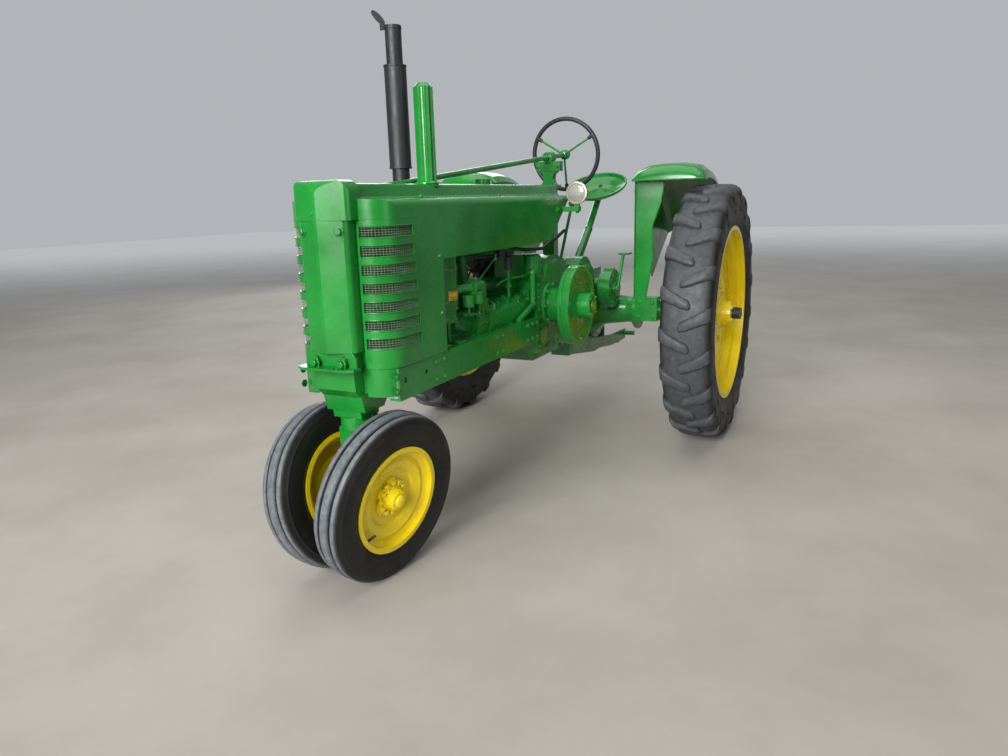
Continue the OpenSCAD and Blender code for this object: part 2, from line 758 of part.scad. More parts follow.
module magneto() {
    color(BLACK) {
        translate([1060, -220, 980]) cylinder(r = 46, h = 96, $fn = 48);
        box([1020, -210, 930], [1100, -block_half - 9 - gap, 1000]);
    }
}

module fan() {
    color(GREEN) translate([fan_x, 0, fan_z]) {
        difference() {
            bar_x(46, -20, 10, 0, 0, 48);
            bar_x(fan_shaft_r + run, -21, 11, 0, 0, 48);
        }
        for (a = [45:90:315]) rotate([a, 0, 0]) translate([-8, 0, 30]) rotate([0, 0, 28])
            box([-2, -38, 0], [2, 38, 126]);
    }
}

module flywheel() {
    inner = flywheel_y - flywheel_w;
    web = inner + 22;
    hub_r = 66;
    hub_end = flywheel_y + 58;
    color(GREEN) translate([crank_x, 0, crank_z]) {
        wheel_form([[inner, flywheel_r - 30], [inner, flywheel_r - 5], [inner + 5, flywheel_r],
            [inner + 19, flywheel_r], [inner + 23, flywheel_r - 4], [inner + 27, flywheel_r],
            [flywheel_y - 5, flywheel_r], [flywheel_y, flywheel_r - 5],
            [flywheel_y, flywheel_r - 26], [flywheel_y - 8, flywheel_r - 34], [web + 8, flywheel_r - 42],
            [web, hub_r + 10], [web + 8, hub_r], [hub_end - 6, hub_r], [hub_end, hub_r - 6],
            [hub_end, 44], [hub_end - 6, 40], [hub_end - 6, crank_r],
            [inner - 20, crank_r], [inner - 20, 56], [inner + 6, 62], [inner + 6, flywheel_r - 40]]);
        bar_y(crank_r, 232, hub_end + 6, 0, 0, 48);
    }
}

module belt_pulley() {
    y0 = -232 - 12 - pulley_w;
    color(GREEN) translate([crank_x, 0, crank_z]) difference() {
        union() {
            wheel_form([[y0, pulley_r - 16], [y0, pulley_r - 2], [y0 + pulley_w / 2, pulley_r],
                [y0 + pulley_w, pulley_r - 2], [y0 + pulley_w, pulley_r - 16],
                [y0 + pulley_w - 20, pulley_r - 16], [y0 + pulley_w - 20, crank_r],
                [y0 - 10, crank_r], [y0 - 10, 70], [y0 + 30, 90], [y0 + 30, pulley_r - 16]]);
            bar_y(crank_r, -300, -185, 0, 0, 48);
        }
    }
}

// Flat-faced solid of revolution about Y from points of [distance along Y, radius]
module faceted_form(points, n) {
    k = len(points);
    polyhedron(
        points = [for (i = [0:n - 1]) for (p = points)
            [p[1] * sin(360 * i / n), p[0], p[1] * cos(360 * i / n)]],
        faces = [for (i = [0:n - 1]) for (j = [0:k - 1])
            [i * k + j, ((i + 1) % n) * k + j, ((i + 1) % n) * k + (j + 1) % k, i * k + (j + 1) % k]]);
}

// Frame of the steering shaft: origin at the wheel's centre, Z along the shaft forward
module shaft_axis() {
    translate([wheel_x, 0, wheel_z]) rotate([0, 90 + shaft_slope, 0]) children();
}

module steering_wheel() {
    shaft_end = 2190;
    color(BLACK) shaft_axis() {
        rotate_extrude($fn = 64) translate([wheel_r, 0]) circle(r = wheel_rim_r, $fn = 24);
        for (a = [30, 150, 270]) rotate([0, 0, a]) rod([20, 0, 20], [wheel_r - 3, 0, 2], 6);
        translate([0, 0, -10]) cylinder(r = 30, h = 50, $fn = 48);
        translate([0, 0, 30]) cylinder(r = shaft_r, h = shaft_end - wheel_x, $fn = 48);
    }
}

module steering_stand() {
    reach = (stand_x - wheel_x) / cos(shaft_slope);
    half = 32;
    color(GREEN) difference() {
        union() {
            // Column on the transmission with its shelf
            box([stand_x - half - 20, -70, trans_top_z + gap], [stand_x + half + 20, 70, trans_top_z + 14]);
            box([stand_x - half, -36, trans_top_z + 10], [stand_x + half, 36, ridge_z - 10]);
            box([stand_x - half - 6, -58, ridge_z - 12], [stand_x + half + 6, 58, ridge_z + 2]);
            // Waisted casting and the clamp round the shaft
            along_x(stand_x - 22, stand_x + 22) polygon([[-54, ridge_z], [54, ridge_z],
                [36, ridge_z + 14], [29, ridge_z + 36], [33, ridge_z + 62], [54, ridge_z + 82],
                [-54, ridge_z + 82], [-33, ridge_z + 62], [-29, ridge_z + 36], [-36, ridge_z + 14]]);
            box([stand_x - 24, -74, ridge_z + 80], [stand_x + 24, 74, stand_top_z + 6]);
            shaft_axis() translate([0, 0, reach - 34]) cylinder(r = 31, h = 68, $fn = 48);
        }
        shaft_axis() translate([0, 0, reach - 100]) cylinder(r = shaft_r + run, h = 200, $fn = 48);
    }
}

module dash() {
    set = 20;
    t = 8;
    low = hood_rear_low_x + set;
    top = hood_rear_top_x + set;
    color(GREEN) intersection() {
        along_x(tongue_x, 1000) hood_section(sheet_t + gap, hood_low_z);
        rotate([90, 0, 0]) translate([0, 0, -300]) linear_extrude(600)
            polygon([[low, hood_low_z + 4], [top, shoulder_z - 12], [top, ridge_z + 8],
                [top + t, ridge_z + 8], [top + t, shoulder_z - 12], [low + t, hood_low_z + 4]]);
    }
}

module headlights() {
    lamp = [636, 288, 1447];
    side_y = hood_half + gap;
    color(GREEN) sides() {
        // Lamp shell opening forward, on an arm bolted to the bonnet's side
        translate(lamp) rotate([0, 90, 0]) rotate_extrude($fn = 64)
            polygon([[0, -66], [26, -58], [45, -36], [54, -8], [56, 6], [58, 8], [58, 18], [0, 18]]);
        translate([0, 0, 1352]) linear_extrude(26)
            polygon([[704, side_y], [784, side_y], [784, side_y + 9], [722, side_y + 16],
                [664, lamp[1] + 14], [628, lamp[1] + 14], [628, lamp[1] - 10], [692, side_y + 12]]);
        translate([lamp[0] + 4, lamp[1], 1370]) cylinder(r = 13, h = 34, $fn = 32);
    }
}

module axle_housings() {
    color(GREEN) sides() difference() {
        union() {
            wheel_housing();
        }
        bar_y(axle_r + run, 140, 700, 0, rtyre_r, 48);
    }
}

module wheel_housing() {
    translate([0, 0, rtyre_r]) {
        wheel_form([[150 + gap, axle_r], [150 + gap, 185], [172, 185], [186, 150], [230, 100],
            [housing_end - 70, 80], [housing_end - 18, 84], [housing_end - 18, 118],
            [housing_end, 118], [housing_end, axle_r]], 64);
    }
    // Sleeve on to the wheel's inner side
    bar_y(58, housing_end - 1, 640, 0, rtyre_r, 48);
}

module brakes() {
    color(GREEN) sides() {
        bar_y(38, trans_half + gap, 200, brake_x, brake_z, 48);
        bar_y(62, 192, 290, brake_x, brake_z, 48);
        bar_y(brake_r - 14, 268, 284, brake_x, brake_z, 64);
        bar_y(brake_r, 282, 345, brake_x, brake_z, 64);
        bar_y(38, 344, 356, brake_x, brake_z, 48);
        // Pedal, standing over the platform
        bar_y(20, 354, 376, brake_x, brake_z, 32);
        rod([brake_x, 365, brake_z], [22, 352, 1080], 10);
        box([-50, 322, 1074], [34, 384, 1084]);
    }
}

module levers() {
    color(GREEN) {
        // Gear lever on its tower
        translate([180, 0, trans_top_z + 60]) cylinder(r = 22, h = 20, $fn = 32);
        rod([180, 0, trans_top_z + 65], [130, 60, 1390], 9);
        translate([130, 60, 1390]) sphere(r = 22, $fn = 32);
        // Clutch lever on the right of the crankcase
        box([570, -case_half - 50, 1015], [620, -case_half - gap, 1065]);
        rod([590, -case_half - 25, 1030], [430, -240, 1480], 10);
    }
}

module platform() {
    back_x = -400;
    half = 240;
    color(GREEN) {
        // Floor behind the differential case, with a lip on three sides
        difference() {
            box([back_x, -half, platform_z], [-150 - gap, half, platform_z + 6]);
            bar_y(205 + gap, -trans_half - 40, trans_half + 40, 0, rtyre_r, 96);
        }
        box([back_x, -half, platform_z - 24], [back_x + 8, half, platform_z + 1]);
        for (s = [-1, 1]) box([back_x, s * (half - 4) - 4, platform_z - 24],
            [-200, s * (half - 4) + 4, platform_z + 1]);
    }
}

module seat_post() {
    knee = [-330, 0, 1215];
    color(GREEN) {
        box([-145, -60, trans_top_z + gap], [60, 60, trans_top_z + 16]);
        rod([-100, 0, 1012], knee, 26);
        translate(knee) sphere(r = 28, $fn = 32);
        rod(knee, seat_under(24), 22);
        seat_place() translate([0, 0, -seat_deep - 14]) cylinder(r = 60, h = 14 - gap, $fn = 48);
    }
}

// Frame of the seat's rim: origin at its middle, Z out of the bowl
module seat_place() {
    translate([seat_x, 0, seat_z + seat_half * sin(seat_tilt)]) rotate([0, seat_tilt, 0]) children();
}

// Point below the middle of the bowl
function seat_under(below) = [seat_x - (seat_deep + below) * sin(seat_tilt), 0,
    seat_z + seat_half * sin(seat_tilt) - (seat_deep + below) * cos(seat_tilt)];

module seat_pan() {
    t = 4;
    color(GREEN) seat_place() difference() {
        // Pressed bowl with a rolled rim
        rotate_extrude($fn = 64) polygon([[0, -seat_deep], [84, -seat_deep], [128, -seat_deep + 9],
            [164, -seat_deep + 28], [190, -22], [seat_half - 3, -11], [seat_half, -5], [seat_half, 2],
            [seat_half - 5, 6], [seat_half - 13, 4], [seat_half - 15, -4], [190 - t, -18],
            [164 - t, -seat_deep + 32], [126, -seat_deep + 13], [83, -seat_deep + t],
            [0, -seat_deep + t]]);
        // Drain hole
        translate([60, 0, -seat_deep - 1]) cylinder(r = 10, h = 10, $fn = 24);
    }
}

// Half section of the fender's crown: outline of its outer skin as [radius, distance]
module fender_half() {
    t = fender_t;
    mid_y = 630;
    tip_y = fender_y + 400;
    front_x = 120;
    crown_z = rtyre_r + sqrt(pow(crown_r - 66, 2) - front_x * front_x);
    foot_z = rtyre_r + 92;
    color(GREEN) {
        // Side plate and crown over the tyre, as an arc round the axle
        translate([0, 0, rtyre_r]) rotate([-90, 0, 0]) rotate([0, 0, -fender_back_a])
            rotate_extrude(angle = fender_back_a - fender_front_a, $fn = 128)
            polygon([[crown_r - 66, fender_y], [crown_r - 31, fender_y + 30],
                [crown_r - 10, fender_y + 90], [crown_r, mid_y], [crown_r, mid_y + 80],
                [crown_r - 14, tip_y - 50], [crown_r - 46, tip_y - 12], [crown_r - 88, tip_y],
                [crown_r - 88, tip_y - t], [crown_r - 49, tip_y - 16], [crown_r - 18, tip_y - 53],
                [crown_r - t, mid_y + 79], [crown_r - t, mid_y + 1], [crown_r - 14, fender_y + 91],
                [crown_r - 35, fender_y + 32], [crown_r - 69, fender_y + t],
                [320, fender_y + t], [320, fender_y]]);
        // Front plate, wider towards the crown, with a rolled edge
        along_x(front_x - t, front_x) polygon([[fender_y, foot_z - 10], [fender_y + 70, foot_z - 10],
            [fender_y + 110, foot_z + 240], [fender_y + 104, foot_z + 420],
            [fender_y + 150, crown_z - 150], [fender_y + 175, crown_z - 8], [fender_y, crown_z - 8]]);
        translate([0, fender_y + t, 0]) rotate([90, 0, 0]) linear_extrude(t)
            polygon([[front_x - 8, foot_z - 10], [front_x + 8, foot_z - 10],
                [front_x + 8, crown_z - 12], [front_x - 30, crown_z - 12], [50, rtyre_r + 330],
                [50, foot_z + 70]]);
        // Foot on the axle housing
        difference() {
            box([50, housing_end + gap, rtyre_r - 52], [front_x + 2, fender_y + 140, foot_z]);
            bar_y(58 + gap, housing_end - 10, 700, 0, rtyre_r, 48);
        }
    }
}

module fender_left() { fender_half(); }
module fender_right() { mirror([0, 1, 0]) fender_half(); }

module drawbar() {
    arm_y = trans_half + gap;
    arm_t = 16;
    end_x = -642;
    cross_x = -560;
    shaft_x = -625;
    hanger_x = 158;
    color(GREEN) difference() {
        union() {
            // Two arms from the transmission's sides to the rear
            sides()
                rotate([90, 0, 0]) translate([0, 0, -arm_y - arm_t]) linear_extrude(arm_t)
                    polygon([[415, 524], [415, trans_low_z + 40], [330, trans_low_z + 40],
                        [240, trans_low_z - 20], [60, 552], [0, 545], [-322, bar_z + 110],
                        [end_x, bar_z + 100], [end_x, bar_z + 30], [-322, bar_z + 36]]);
            // Rear cross member, the stub shafts and the middle bar
            box([cross_x, -arm_y - 1, bar_top_z], [cross_x + 44, arm_y + 1, bar_z + 60]);
            sides() bar_y(16, arm_y + 2, 236, shaft_x, bar_z + 72, 32);
            box([end_x, -38, bar_z - bar_t / 2], [-326, 38, bar_top_z]);
            rotate([90, 0, 0]) translate([0, 0, -38]) linear_extrude(76)
                polygon([[-328, bar_z - bar_t / 2], [hanger_x + 36, bar_z + 60],
                    [hanger_x + 36, bar_z + 92], [-328, bar_top_z]]);
            box([hanger_x, -60, bar_z + 58], [hanger_x + 42, 60, trans_low_z - gap]);
            // Hanger behind the differential case
            box([-221, -arm_y - 1, bar_z + 110], [-205 - gap, -60, rtyre_r - 60]);
            box([-221, 60, bar_z + 110], [-205 - gap, arm_y + 1, rtyre_r - 60]);
        }
        translate([-600, 0, bar_z - 50]) cylinder(r = pin_r, h = 100, $fn = 48);
    }
}

module pto_shaft() {
    color(STEEL) {
        bar_x(pto_r, -330, -206, 0, pto_z, 48);
        bar_x(pto_r - 0.5, -207, -62, 0, pto_z, 48);
    }
}

// Steered frame: everything on it stands at the rest angle
module steered() {
    translate([wheelbase, 0, 0]) rotate([0, 0, steer_rest]) children();
}

module front_spindle() {
    color(GREEN) steered() {
        translate([0, 0, 560]) cylinder(r = spindle_r, h = 365, $fn = 64);
        // Head under the pedestal, column and knuckle
        translate([0, 0, 590]) cylinder(r = 62, h = 50 - gap, $fn = 64);
        box([-56, -44, 330], [54, 44, 600]);
        sides() knuckle();
    }
}

module knuckle() {
    translate([0, front_half, fwheel_z]) rotate([-camber, 0, 0]) {
        bar_y(34, -110, -52, 0, 0, 48);
        bar_y(22, -60, 40, 0, 0, 48);
    }
}

module wheel_place() {
    steered() translate([0, front_half, fwheel_z]) rotate([-camber, 0, 0]) children();
}

module front_wheel() {
    seat = frim_seat_r;
    color(YELLOW) difference() {
        union() {
            // Rim and disc in one section
            wheel_form([[-frim_half, frim_r], [-frim_half + 4, frim_r], [-frim_half + 4, seat],
                [-32, seat - 2], [-22, seat - 22], [12, seat - 22], [22, seat - 22],
                [32, seat - 2], [frim_half - 4, seat], [frim_half - 4, frim_r],
                [frim_half, frim_r], [frim_half, seat - 4], [36, seat - 6], [26, seat - 26],
                [34, seat - 46], [22, 120], [10, 112], [10, 40], [-4, 40], [-4, 114], [16, 126],
                [26, seat - 48], [18, seat - 27], [-26, seat - 26], [-36, seat - 6],
                [-frim_half, seat - 4]]);
            // Hub and cap
            wheel_form([[-48, 22 + run], [-48, 44], [-4, 52], [24, 52], [30, 44], [52, 42],
                [60, 34], [62, 0], [42, 0], [42, 22 + run]], 64);
            // Hub lobes with their studs
            for (i = [0:5]) rotate([0, i * 60 + 30, 0]) translate([62, 0, 0]) {
                bar_y(22, 8, 20, 0, 0, 24);
                bar_y(9, 18, 32, 0, 0, 24);
            }
        }
    }
}

module front_wheel_left() { wheel_place() front_wheel(); }
module front_wheel_right() { wheel_right_place() front_wheel(); }

module wheel_right_place() {
    steered() mirror([0, 1, 0]) translate([0, front_half, fwheel_z])
        rotate([-camber, 0, 0]) children();
}

module front_tyre() {
    color(BLACK) faceted_form(concat(ftyre_side,
        [for (i = [len(ftyre_side) - 1:-1:0]) [-ftyre_side[i][0], ftyre_side[i][1]]]), 40);
}

module front_tyre_left() { wheel_place() front_tyre(); }
module front_tyre_right() { wheel_right_place() front_tyre(); }

module rear_place() {
    translate([0, rear_track / 2, rtyre_r]) children();
}

module rear_wheel() {
    seat = rrim_r - 16;
    h = rrim_half;
    out = axle_span / 2 - rear_track / 2;
    color(YELLOW) difference() {
        union() {
            wheel_form([[-h, rrim_r], [-h + 5, rrim_r], [-h + 5, seat], [-70, seat - 2],
                [-55, seat - 34], [55, seat - 34], [70, seat - 2], [h - 5, seat],
                [h - 5, rrim_r], [h, rrim_r], [h, seat - 5], [73, seat - 7], [59, seat - 39],
                [24, seat - 39], [20, 380], [44, 230], [48, 190], [48, 60], [36, 60], [36, 188],
                [32, 228], [8, 378], [10, seat - 39], [-59, seat - 39], [-73, seat - 7],
                [-h, seat - 5]], 128);
            wheel_form([[-70, axle_r - 1], [-70, 78], [30, 84], [52, 84], [70, 72],
                [124, 66], [124, axle_r - 1]], 64);
        }
    }
    color(STEEL) bar_y(axle_r, -rear_track / 2 + 152, out, 0, 0, 48);
}

module rear_wheel_left() { rear_place() rear_wheel(); }
module rear_wheel_right() { mirror([0, 1, 0]) rear_place() rear_wheel(); }

// Lug: a slanted bar from the tyre's middle to its shoulder, one corner at the top
module lug() {
    foot_r = 610;
    slant = 62;
    // Columns: distance from the middle, place round the tyre, radius of the top
    rows = [[-4, 0, rtyre_r], [rtyre_half - 1, slant, rtyre_r - 14]];
    last = len(rows) - 1;
    function at(y, x, r) = [r * sin(x * 180 / PI / rtyre_r), y, r * cos(x * 180 / PI / rtyre_r)];
    polyhedron(
        points = [for (row = rows) each [at(row[0], -row[1] - lug_t, foot_r), at(row[0], -row[1], foot_r),
            at(row[0], -row[1], row[2]), at(row[0], -row[1] - lug_t, row[2])]],
        faces = concat([[3, 2, 1], [3, 1, 0]],
            [for (i = [0:last - 1]) for (j = [0:3]) for (h = [0, 1]) let (j2 = (j + 1) % 4, m = 4 * i)
                h == 0 ? [m + j, m + j2, m + 4 + j2] : [m + j, m + 4 + j2, m + 4 + j]],
            [[4 * last, 4 * last + 1, 4 * last + 2], [4 * last, 4 * last + 2, 4 * last + 3]]));
}

module rear_tyre() {
    base = rtyre_r - lug_h;
    h = rtyre_half;
    bead = rrim_half - 5 - gap;
    side = [[bead, rrim_r - 14 + facet_gap], [bead, rrim_r + 1.5 * facet_gap], [h, 610],
        [h - 36, base - 4]];
    color(BLACK) {
        faceted_form(concat(side, [for (i = [len(side) - 1:-1:0]) [-side[i][0], side[i][1]]]), 40);
        for (i = [0:lug_n - 1]) rotate([0, i * 360 / lug_n, 0]) {
            lug();
            rotate([0, 180 / lug_n, 0]) mirror([0, 1, 0]) lug();
        }
    }
}

module rear_tyre_left() { rear_place() rear_tyre(); }
module rear_tyre_right() { mirror([0, 1, 0]) rear_place() rear_tyre(); }

at_frame() main_case();
at_frame() engine_block();
at_frame() cylinder_head();
at_frame() frame_rails();
at_frame() front_frame();
at_frame() pedestal();
at_frame() front_bracket();
at_frame() nose_cap();
at_frame() grille_left();
at_frame() grille_right();
at_frame() grille_screens();
at_frame() radiator();
at_frame() water_pipes();
at_frame() hood();
at_frame() fuel_tank();
at_frame() exhaust();
at_frame() rain_cap();
at_frame() air_stack();
at_frame() air_cleaner();
at_frame() carburettor();
at_frame() governor();
at_frame() magneto();
at_frame() fan();
at_frame() flywheel();
at_frame() belt_pulley();
at_frame() steering_wheel();
at_frame() steering_stand();
at_frame() dash();
at_frame() headlights();
at_frame() axle_housings();
at_frame() brakes();
at_frame() levers();
at_frame() platform();
at_frame() seat_post();
at_frame() seat_pan();
at_frame() fender_left();
at_frame() fender_right();
at_frame() drawbar();
at_frame() pto_shaft();
at_frame() front_spindle();
at_frame() front_wheel_left();
at_frame() front_wheel_right();
at_frame() front_tyre_left();
at_frame() front_tyre_right();
at_frame() rear_wheel_left();
at_frame() rear_wheel_right();
at_frame() rear_tyre_left();
at_frame() rear_tyre_right();
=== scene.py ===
"""Row-crop tractor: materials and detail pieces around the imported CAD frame.

Places are given in millimetres from the rear axle, X forward, Y to the driver's
left and Z up, as in the part's source; place() turns them into metres of the frame.
"""
import json
import math

import bmesh
import bpy
from mathutils import Matrix, Vector
from mathutils.bvhtree import BVHTree


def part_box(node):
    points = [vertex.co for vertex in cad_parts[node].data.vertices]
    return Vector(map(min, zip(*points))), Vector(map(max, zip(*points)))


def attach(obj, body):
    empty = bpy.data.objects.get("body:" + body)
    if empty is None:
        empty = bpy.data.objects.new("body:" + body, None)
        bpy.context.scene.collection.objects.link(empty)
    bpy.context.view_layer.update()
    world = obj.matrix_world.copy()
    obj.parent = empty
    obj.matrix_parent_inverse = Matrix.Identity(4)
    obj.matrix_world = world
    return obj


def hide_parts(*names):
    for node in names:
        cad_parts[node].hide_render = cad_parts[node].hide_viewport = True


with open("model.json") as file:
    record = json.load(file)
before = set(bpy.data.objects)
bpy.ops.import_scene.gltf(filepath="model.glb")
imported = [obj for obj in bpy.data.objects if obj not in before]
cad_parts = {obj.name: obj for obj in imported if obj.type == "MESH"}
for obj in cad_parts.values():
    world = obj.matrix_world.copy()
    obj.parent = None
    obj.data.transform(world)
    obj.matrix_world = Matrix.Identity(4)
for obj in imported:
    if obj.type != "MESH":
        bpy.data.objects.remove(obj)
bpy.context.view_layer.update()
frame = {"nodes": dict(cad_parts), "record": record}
nodes = frame["nodes"]
MM = 0.001

axle_low, axle_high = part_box("rear_wheel_left")
AXLE_X = (axle_low.x + axle_high.x) / 2


def place(x, y, z):
    """A point given in millimetres from the rear axle, in metres of the frame."""
    return Vector((AXLE_X + x * MM, y * MM, z * MM))


def middle_of(node):
    """Middle of a node's box, in millimetres from the rear axle."""
    low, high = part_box(node)
    return Vector((((low.x + high.x) / 2 - AXLE_X) / MM, (low.y + high.y) / 2 / MM,
                   (low.z + high.z) / 2 / MM))


# Camera, at the photograph's viewing angle

CAMERA_PLACE = (4510.6, 1738.0, 1424.7)
CAMERA_YAW, CAMERA_PITCH, CAMERA_ROLL = 206.39, -13.41, 1.656
CAMERA_LENS = 26.74


def make_camera():
    """Camera turned by yaw, then pitch, then roll about its own line of sight."""
    data = bpy.data.cameras.new("camera")
    data.lens = CAMERA_LENS
    data.sensor_width = 36
    data.clip_start, data.clip_end = 0.05, 100
    camera = bpy.data.objects.new("camera", data)
    bpy.context.scene.collection.objects.link(camera)
    yaw, pitch, roll = (math.radians(a) for a in (CAMERA_YAW, CAMERA_PITCH, CAMERA_ROLL))
    forward = Vector((math.cos(yaw) * math.cos(pitch), math.sin(yaw) * math.cos(pitch),
                      math.sin(pitch)))
    right = forward.cross(Vector((0, 0, 1))).normalized()
    down = forward.cross(right)
    turned_right = math.cos(roll) * right + math.sin(roll) * down
    turned_down = -math.sin(roll) * right + math.cos(roll) * down
    camera.matrix_world = Matrix.Translation(place(*CAMERA_PLACE)) @ Matrix(
        (turned_right, -turned_down, -forward)).transposed().to_4x4()
    bpy.context.scene.camera = camera


make_camera()


# Materials

def new_material(name):
    """A new material with its node tree and its shader."""
    material = bpy.data.materials.new(name)
    material.use_nodes = True
    tree = material.node_tree
    return material, tree, tree.nodes["Principled BSDF"]


def noise(tree, scale, detail=4.0, rough=0.55):
    """Noise fixed to the object, finer with a larger scale."""
    coords = tree.nodes.new("ShaderNodeTexCoord")
    node = tree.nodes.new("ShaderNodeTexNoise")
    node.inputs["Scale"].default_value = scale
    node.inputs["Detail"].default_value = detail
    node.inputs["Roughness"].default_value = rough
    tree.links.new(coords.outputs["Object"], node.inputs["Vector"])
    return node.outputs["Fac"]


def ramp(tree, value, stops):
    """Colour taken from the stops, each a place from 0 to 1 and a colour."""
    node = tree.nodes.new("ShaderNodeValToRGB")
    band = node.color_ramp
    while len(band.elements) < len(stops):
        band.elements.new(0.5)
    for element, (position, colour) in zip(band.elements, stops):
        element.position = position
        element.color = (*colour, 1)
    tree.links.new(value, node.inputs["Fac"])
    return node.outputs["Color"]


def mix(tree, factor, a, b):
    """Colour mix; a and b are sockets or colours."""
    node = tree.nodes.new("ShaderNodeMix")
    node.data_type = "RGBA"
    tree.links.new(factor, node.inputs["Factor"])
    for name, value in (("A", a), ("B", b)):
        socket = [s for s in node.inputs if s.name == name and s.type == "RGBA"][0]
        if isinstance(value, tuple):
            socket.default_value = (*value, 1)
        else:
            tree.links.new(value, socket)
    return [s for s in node.outputs if s.type == "RGBA"][0]


def wear_and_sheen(tree):
    """How dusty and scuffed a piece is at a point, with a painted sheen on the front tyres' ribs,
    stored on its mesh as it is made.
    """
    node = tree.nodes.new("ShaderNodeAttribute")
    node.attribute_name = "wear_and_sheen"
    return node.outputs["Fac"]


def bump(tree, shader, height, strength, distance, edge):
    """Fine surface relief, and edges that catch light as if rounded by edge metres."""
    bevel = tree.nodes.new("ShaderNodeBevel")
    bevel.samples = 4
    bevel.inputs["Radius"].default_value = edge
    node = tree.nodes.new("ShaderNodeBump")
    node.inputs["Strength"].default_value = strength
    node.inputs["Distance"].default_value = distance
    tree.links.new(height, node.inputs["Height"])
    tree.links.new(bevel.outputs["Normal"], node.inputs["Normal"])
    tree.links.new(node.outputs["Normal"], shader.inputs["Normal"])


def enamel(name, colour, dark, roughness, dusty=(0.16, 0.24, 0.12)):
    """Glossy enamel over castings and sheet, a little uneven, with thin dust and darker
    grime in broad patches."""
    material, tree, shader = new_material(name)
    patches = ramp(tree, noise(tree, 3.5, 5), [(0.36, dark), (0.60, colour)])
    dust = ramp(tree, noise(tree, 22, 6, 0.7), [(0.64, (0, 0, 0)), (0.84, (0.14, 0.14, 0.14))])
    tree.links.new(mix(tree, dust, patches, dusty), shader.inputs["Base Color"])
    tree.links.new(ramp(tree, noise(tree, 9, 5, 0.6), [
        (0.35, (roughness,) * 3), (0.72, (roughness + 0.16,) * 3)]), shader.inputs["Roughness"])
    shader.inputs["Coat Weight"].default_value = 0.30
    shader.inputs["Coat Roughness"].default_value = 0.08
    bump(tree, shader, noise(tree, 120, 3, 0.5), 0.09, 0.002, 0.003)
    return material


def rubber_material():
    """Tyre rubber: near black, with grey dust and scuffing where the mesh is marked; on the front
    tyres' ribs that grey is also a painted sheen of the sky.
    """
    material, tree, shader = new_material("rubber")
    base = ramp(tree, noise(tree, 7, 6, 0.6), [(0.35, (0.007, 0.007, 0.006)),
                                              (0.70, (0.014, 0.014, 0.012))])
    grey = ramp(tree, noise(tree, 40, 6, 0.7), [(0.30, (0.078, 0.088, 0.098)),
                                                (0.70, (0.185, 0.200, 0.215))])
    dust = ramp(tree, noise(tree, 26, 7, 0.7), [(0.50, (0, 0, 0)), (0.82, (0.22, 0.22, 0.22))])
    side = mix(tree, dust, base, (0.055, 0.055, 0.050))
    tree.links.new(mix(tree, wear_and_sheen(tree), side, grey), shader.inputs["Base Color"])
    tree.links.new(ramp(tree, noise(tree, 16, 4, 0.6), [(0.3, (0.38,) * 3), (0.7, (0.60,) * 3)]),
                   shader.inputs["Roughness"])
    shader.inputs["Specular IOR Level"].default_value = 0.3
    bump(tree, shader, noise(tree, 260, 4, 0.6), 0.25, 0.0015, 0.002)
    return material


def metal(name, colour, roughness, metallic=1.0, edge=0.001, dark=0.62):
    """One colour with darker patches; not metallic, it stands for paint, glass or card."""
    material, tree, shader = new_material(name)
    tree.links.new(ramp(tree, noise(tree, 18, 6, 0.65), [
        (0.35, tuple(c * dark for c in colour)), (0.68, colour)]), shader.inputs["Base Color"])
    tree.links.new(ramp(tree, noise(tree, 30, 4, 0.6), [
        (0.3, (roughness,) * 3), (0.7, (roughness + 0.2,) * 3)]), shader.inputs["Roughness"])
    shader.inputs["Metallic"].default_value = metallic
    bump(tree, shader, noise(tree, 200, 4, 0.6), 0.12, 0.001, edge)
    return material


GREEN = enamel("green", (0.010, 0.230, 0.028), (0.006, 0.165, 0.018), 0.20)
YELLOW = enamel("yellow", (0.880, 0.680, 0.003), (0.780, 0.560, 0.002), 0.24, (0.62, 0.46, 0.05))
RUBBER = rubber_material()
BLACK = metal("black", (0.020, 0.022, 0.027), 0.38, metallic=0.0, edge=0.002)
STEEL = metal("steel", (0.420, 0.415, 0.400), 0.34)
SCREEN = metal("screen", (0.21, 0.33, 0.20), 0.40, metallic=0.0)
GLASS = metal("lens", (0.36, 0.35, 0.31), 0.10, metallic=0.0, dark=0.7)
CORE = metal("core", (0.022, 0.024, 0.022), 0.60, metallic=0.0)
DIAL = metal("dial", (0.75, 0.74, 0.68), 0.35, metallic=0.0, dark=0.95)
RING = metal("ring", (0.60, 0.56, 0.44), 0.25, metallic=0.6)
LABEL = metal("label", (0.80, 0.52, 0.03), 0.4, metallic=0.0, dark=0.9)
PAINTS = {"green": GREEN, "yellow": YELLOW, "rubber": RUBBER, "black": BLACK, "steel": STEEL,
          "screen": SCREEN}

for row in frame["record"]["subparts"]:
    mesh = nodes[row["node"]].data
    mesh.materials.clear()
    mesh.materials.append(PAINTS[row["material_slot"]])


# Mesh tools

def basis(axis):
    """Unit vector along the axis and two across it."""
    along = Vector(axis).normalized()
    helper = Vector((0, 0, 1)) if abs(along.z) < 0.9 else Vector((1, 0, 0))
    across = along.cross(helper).normalized()
    return along, across, along.cross(across)


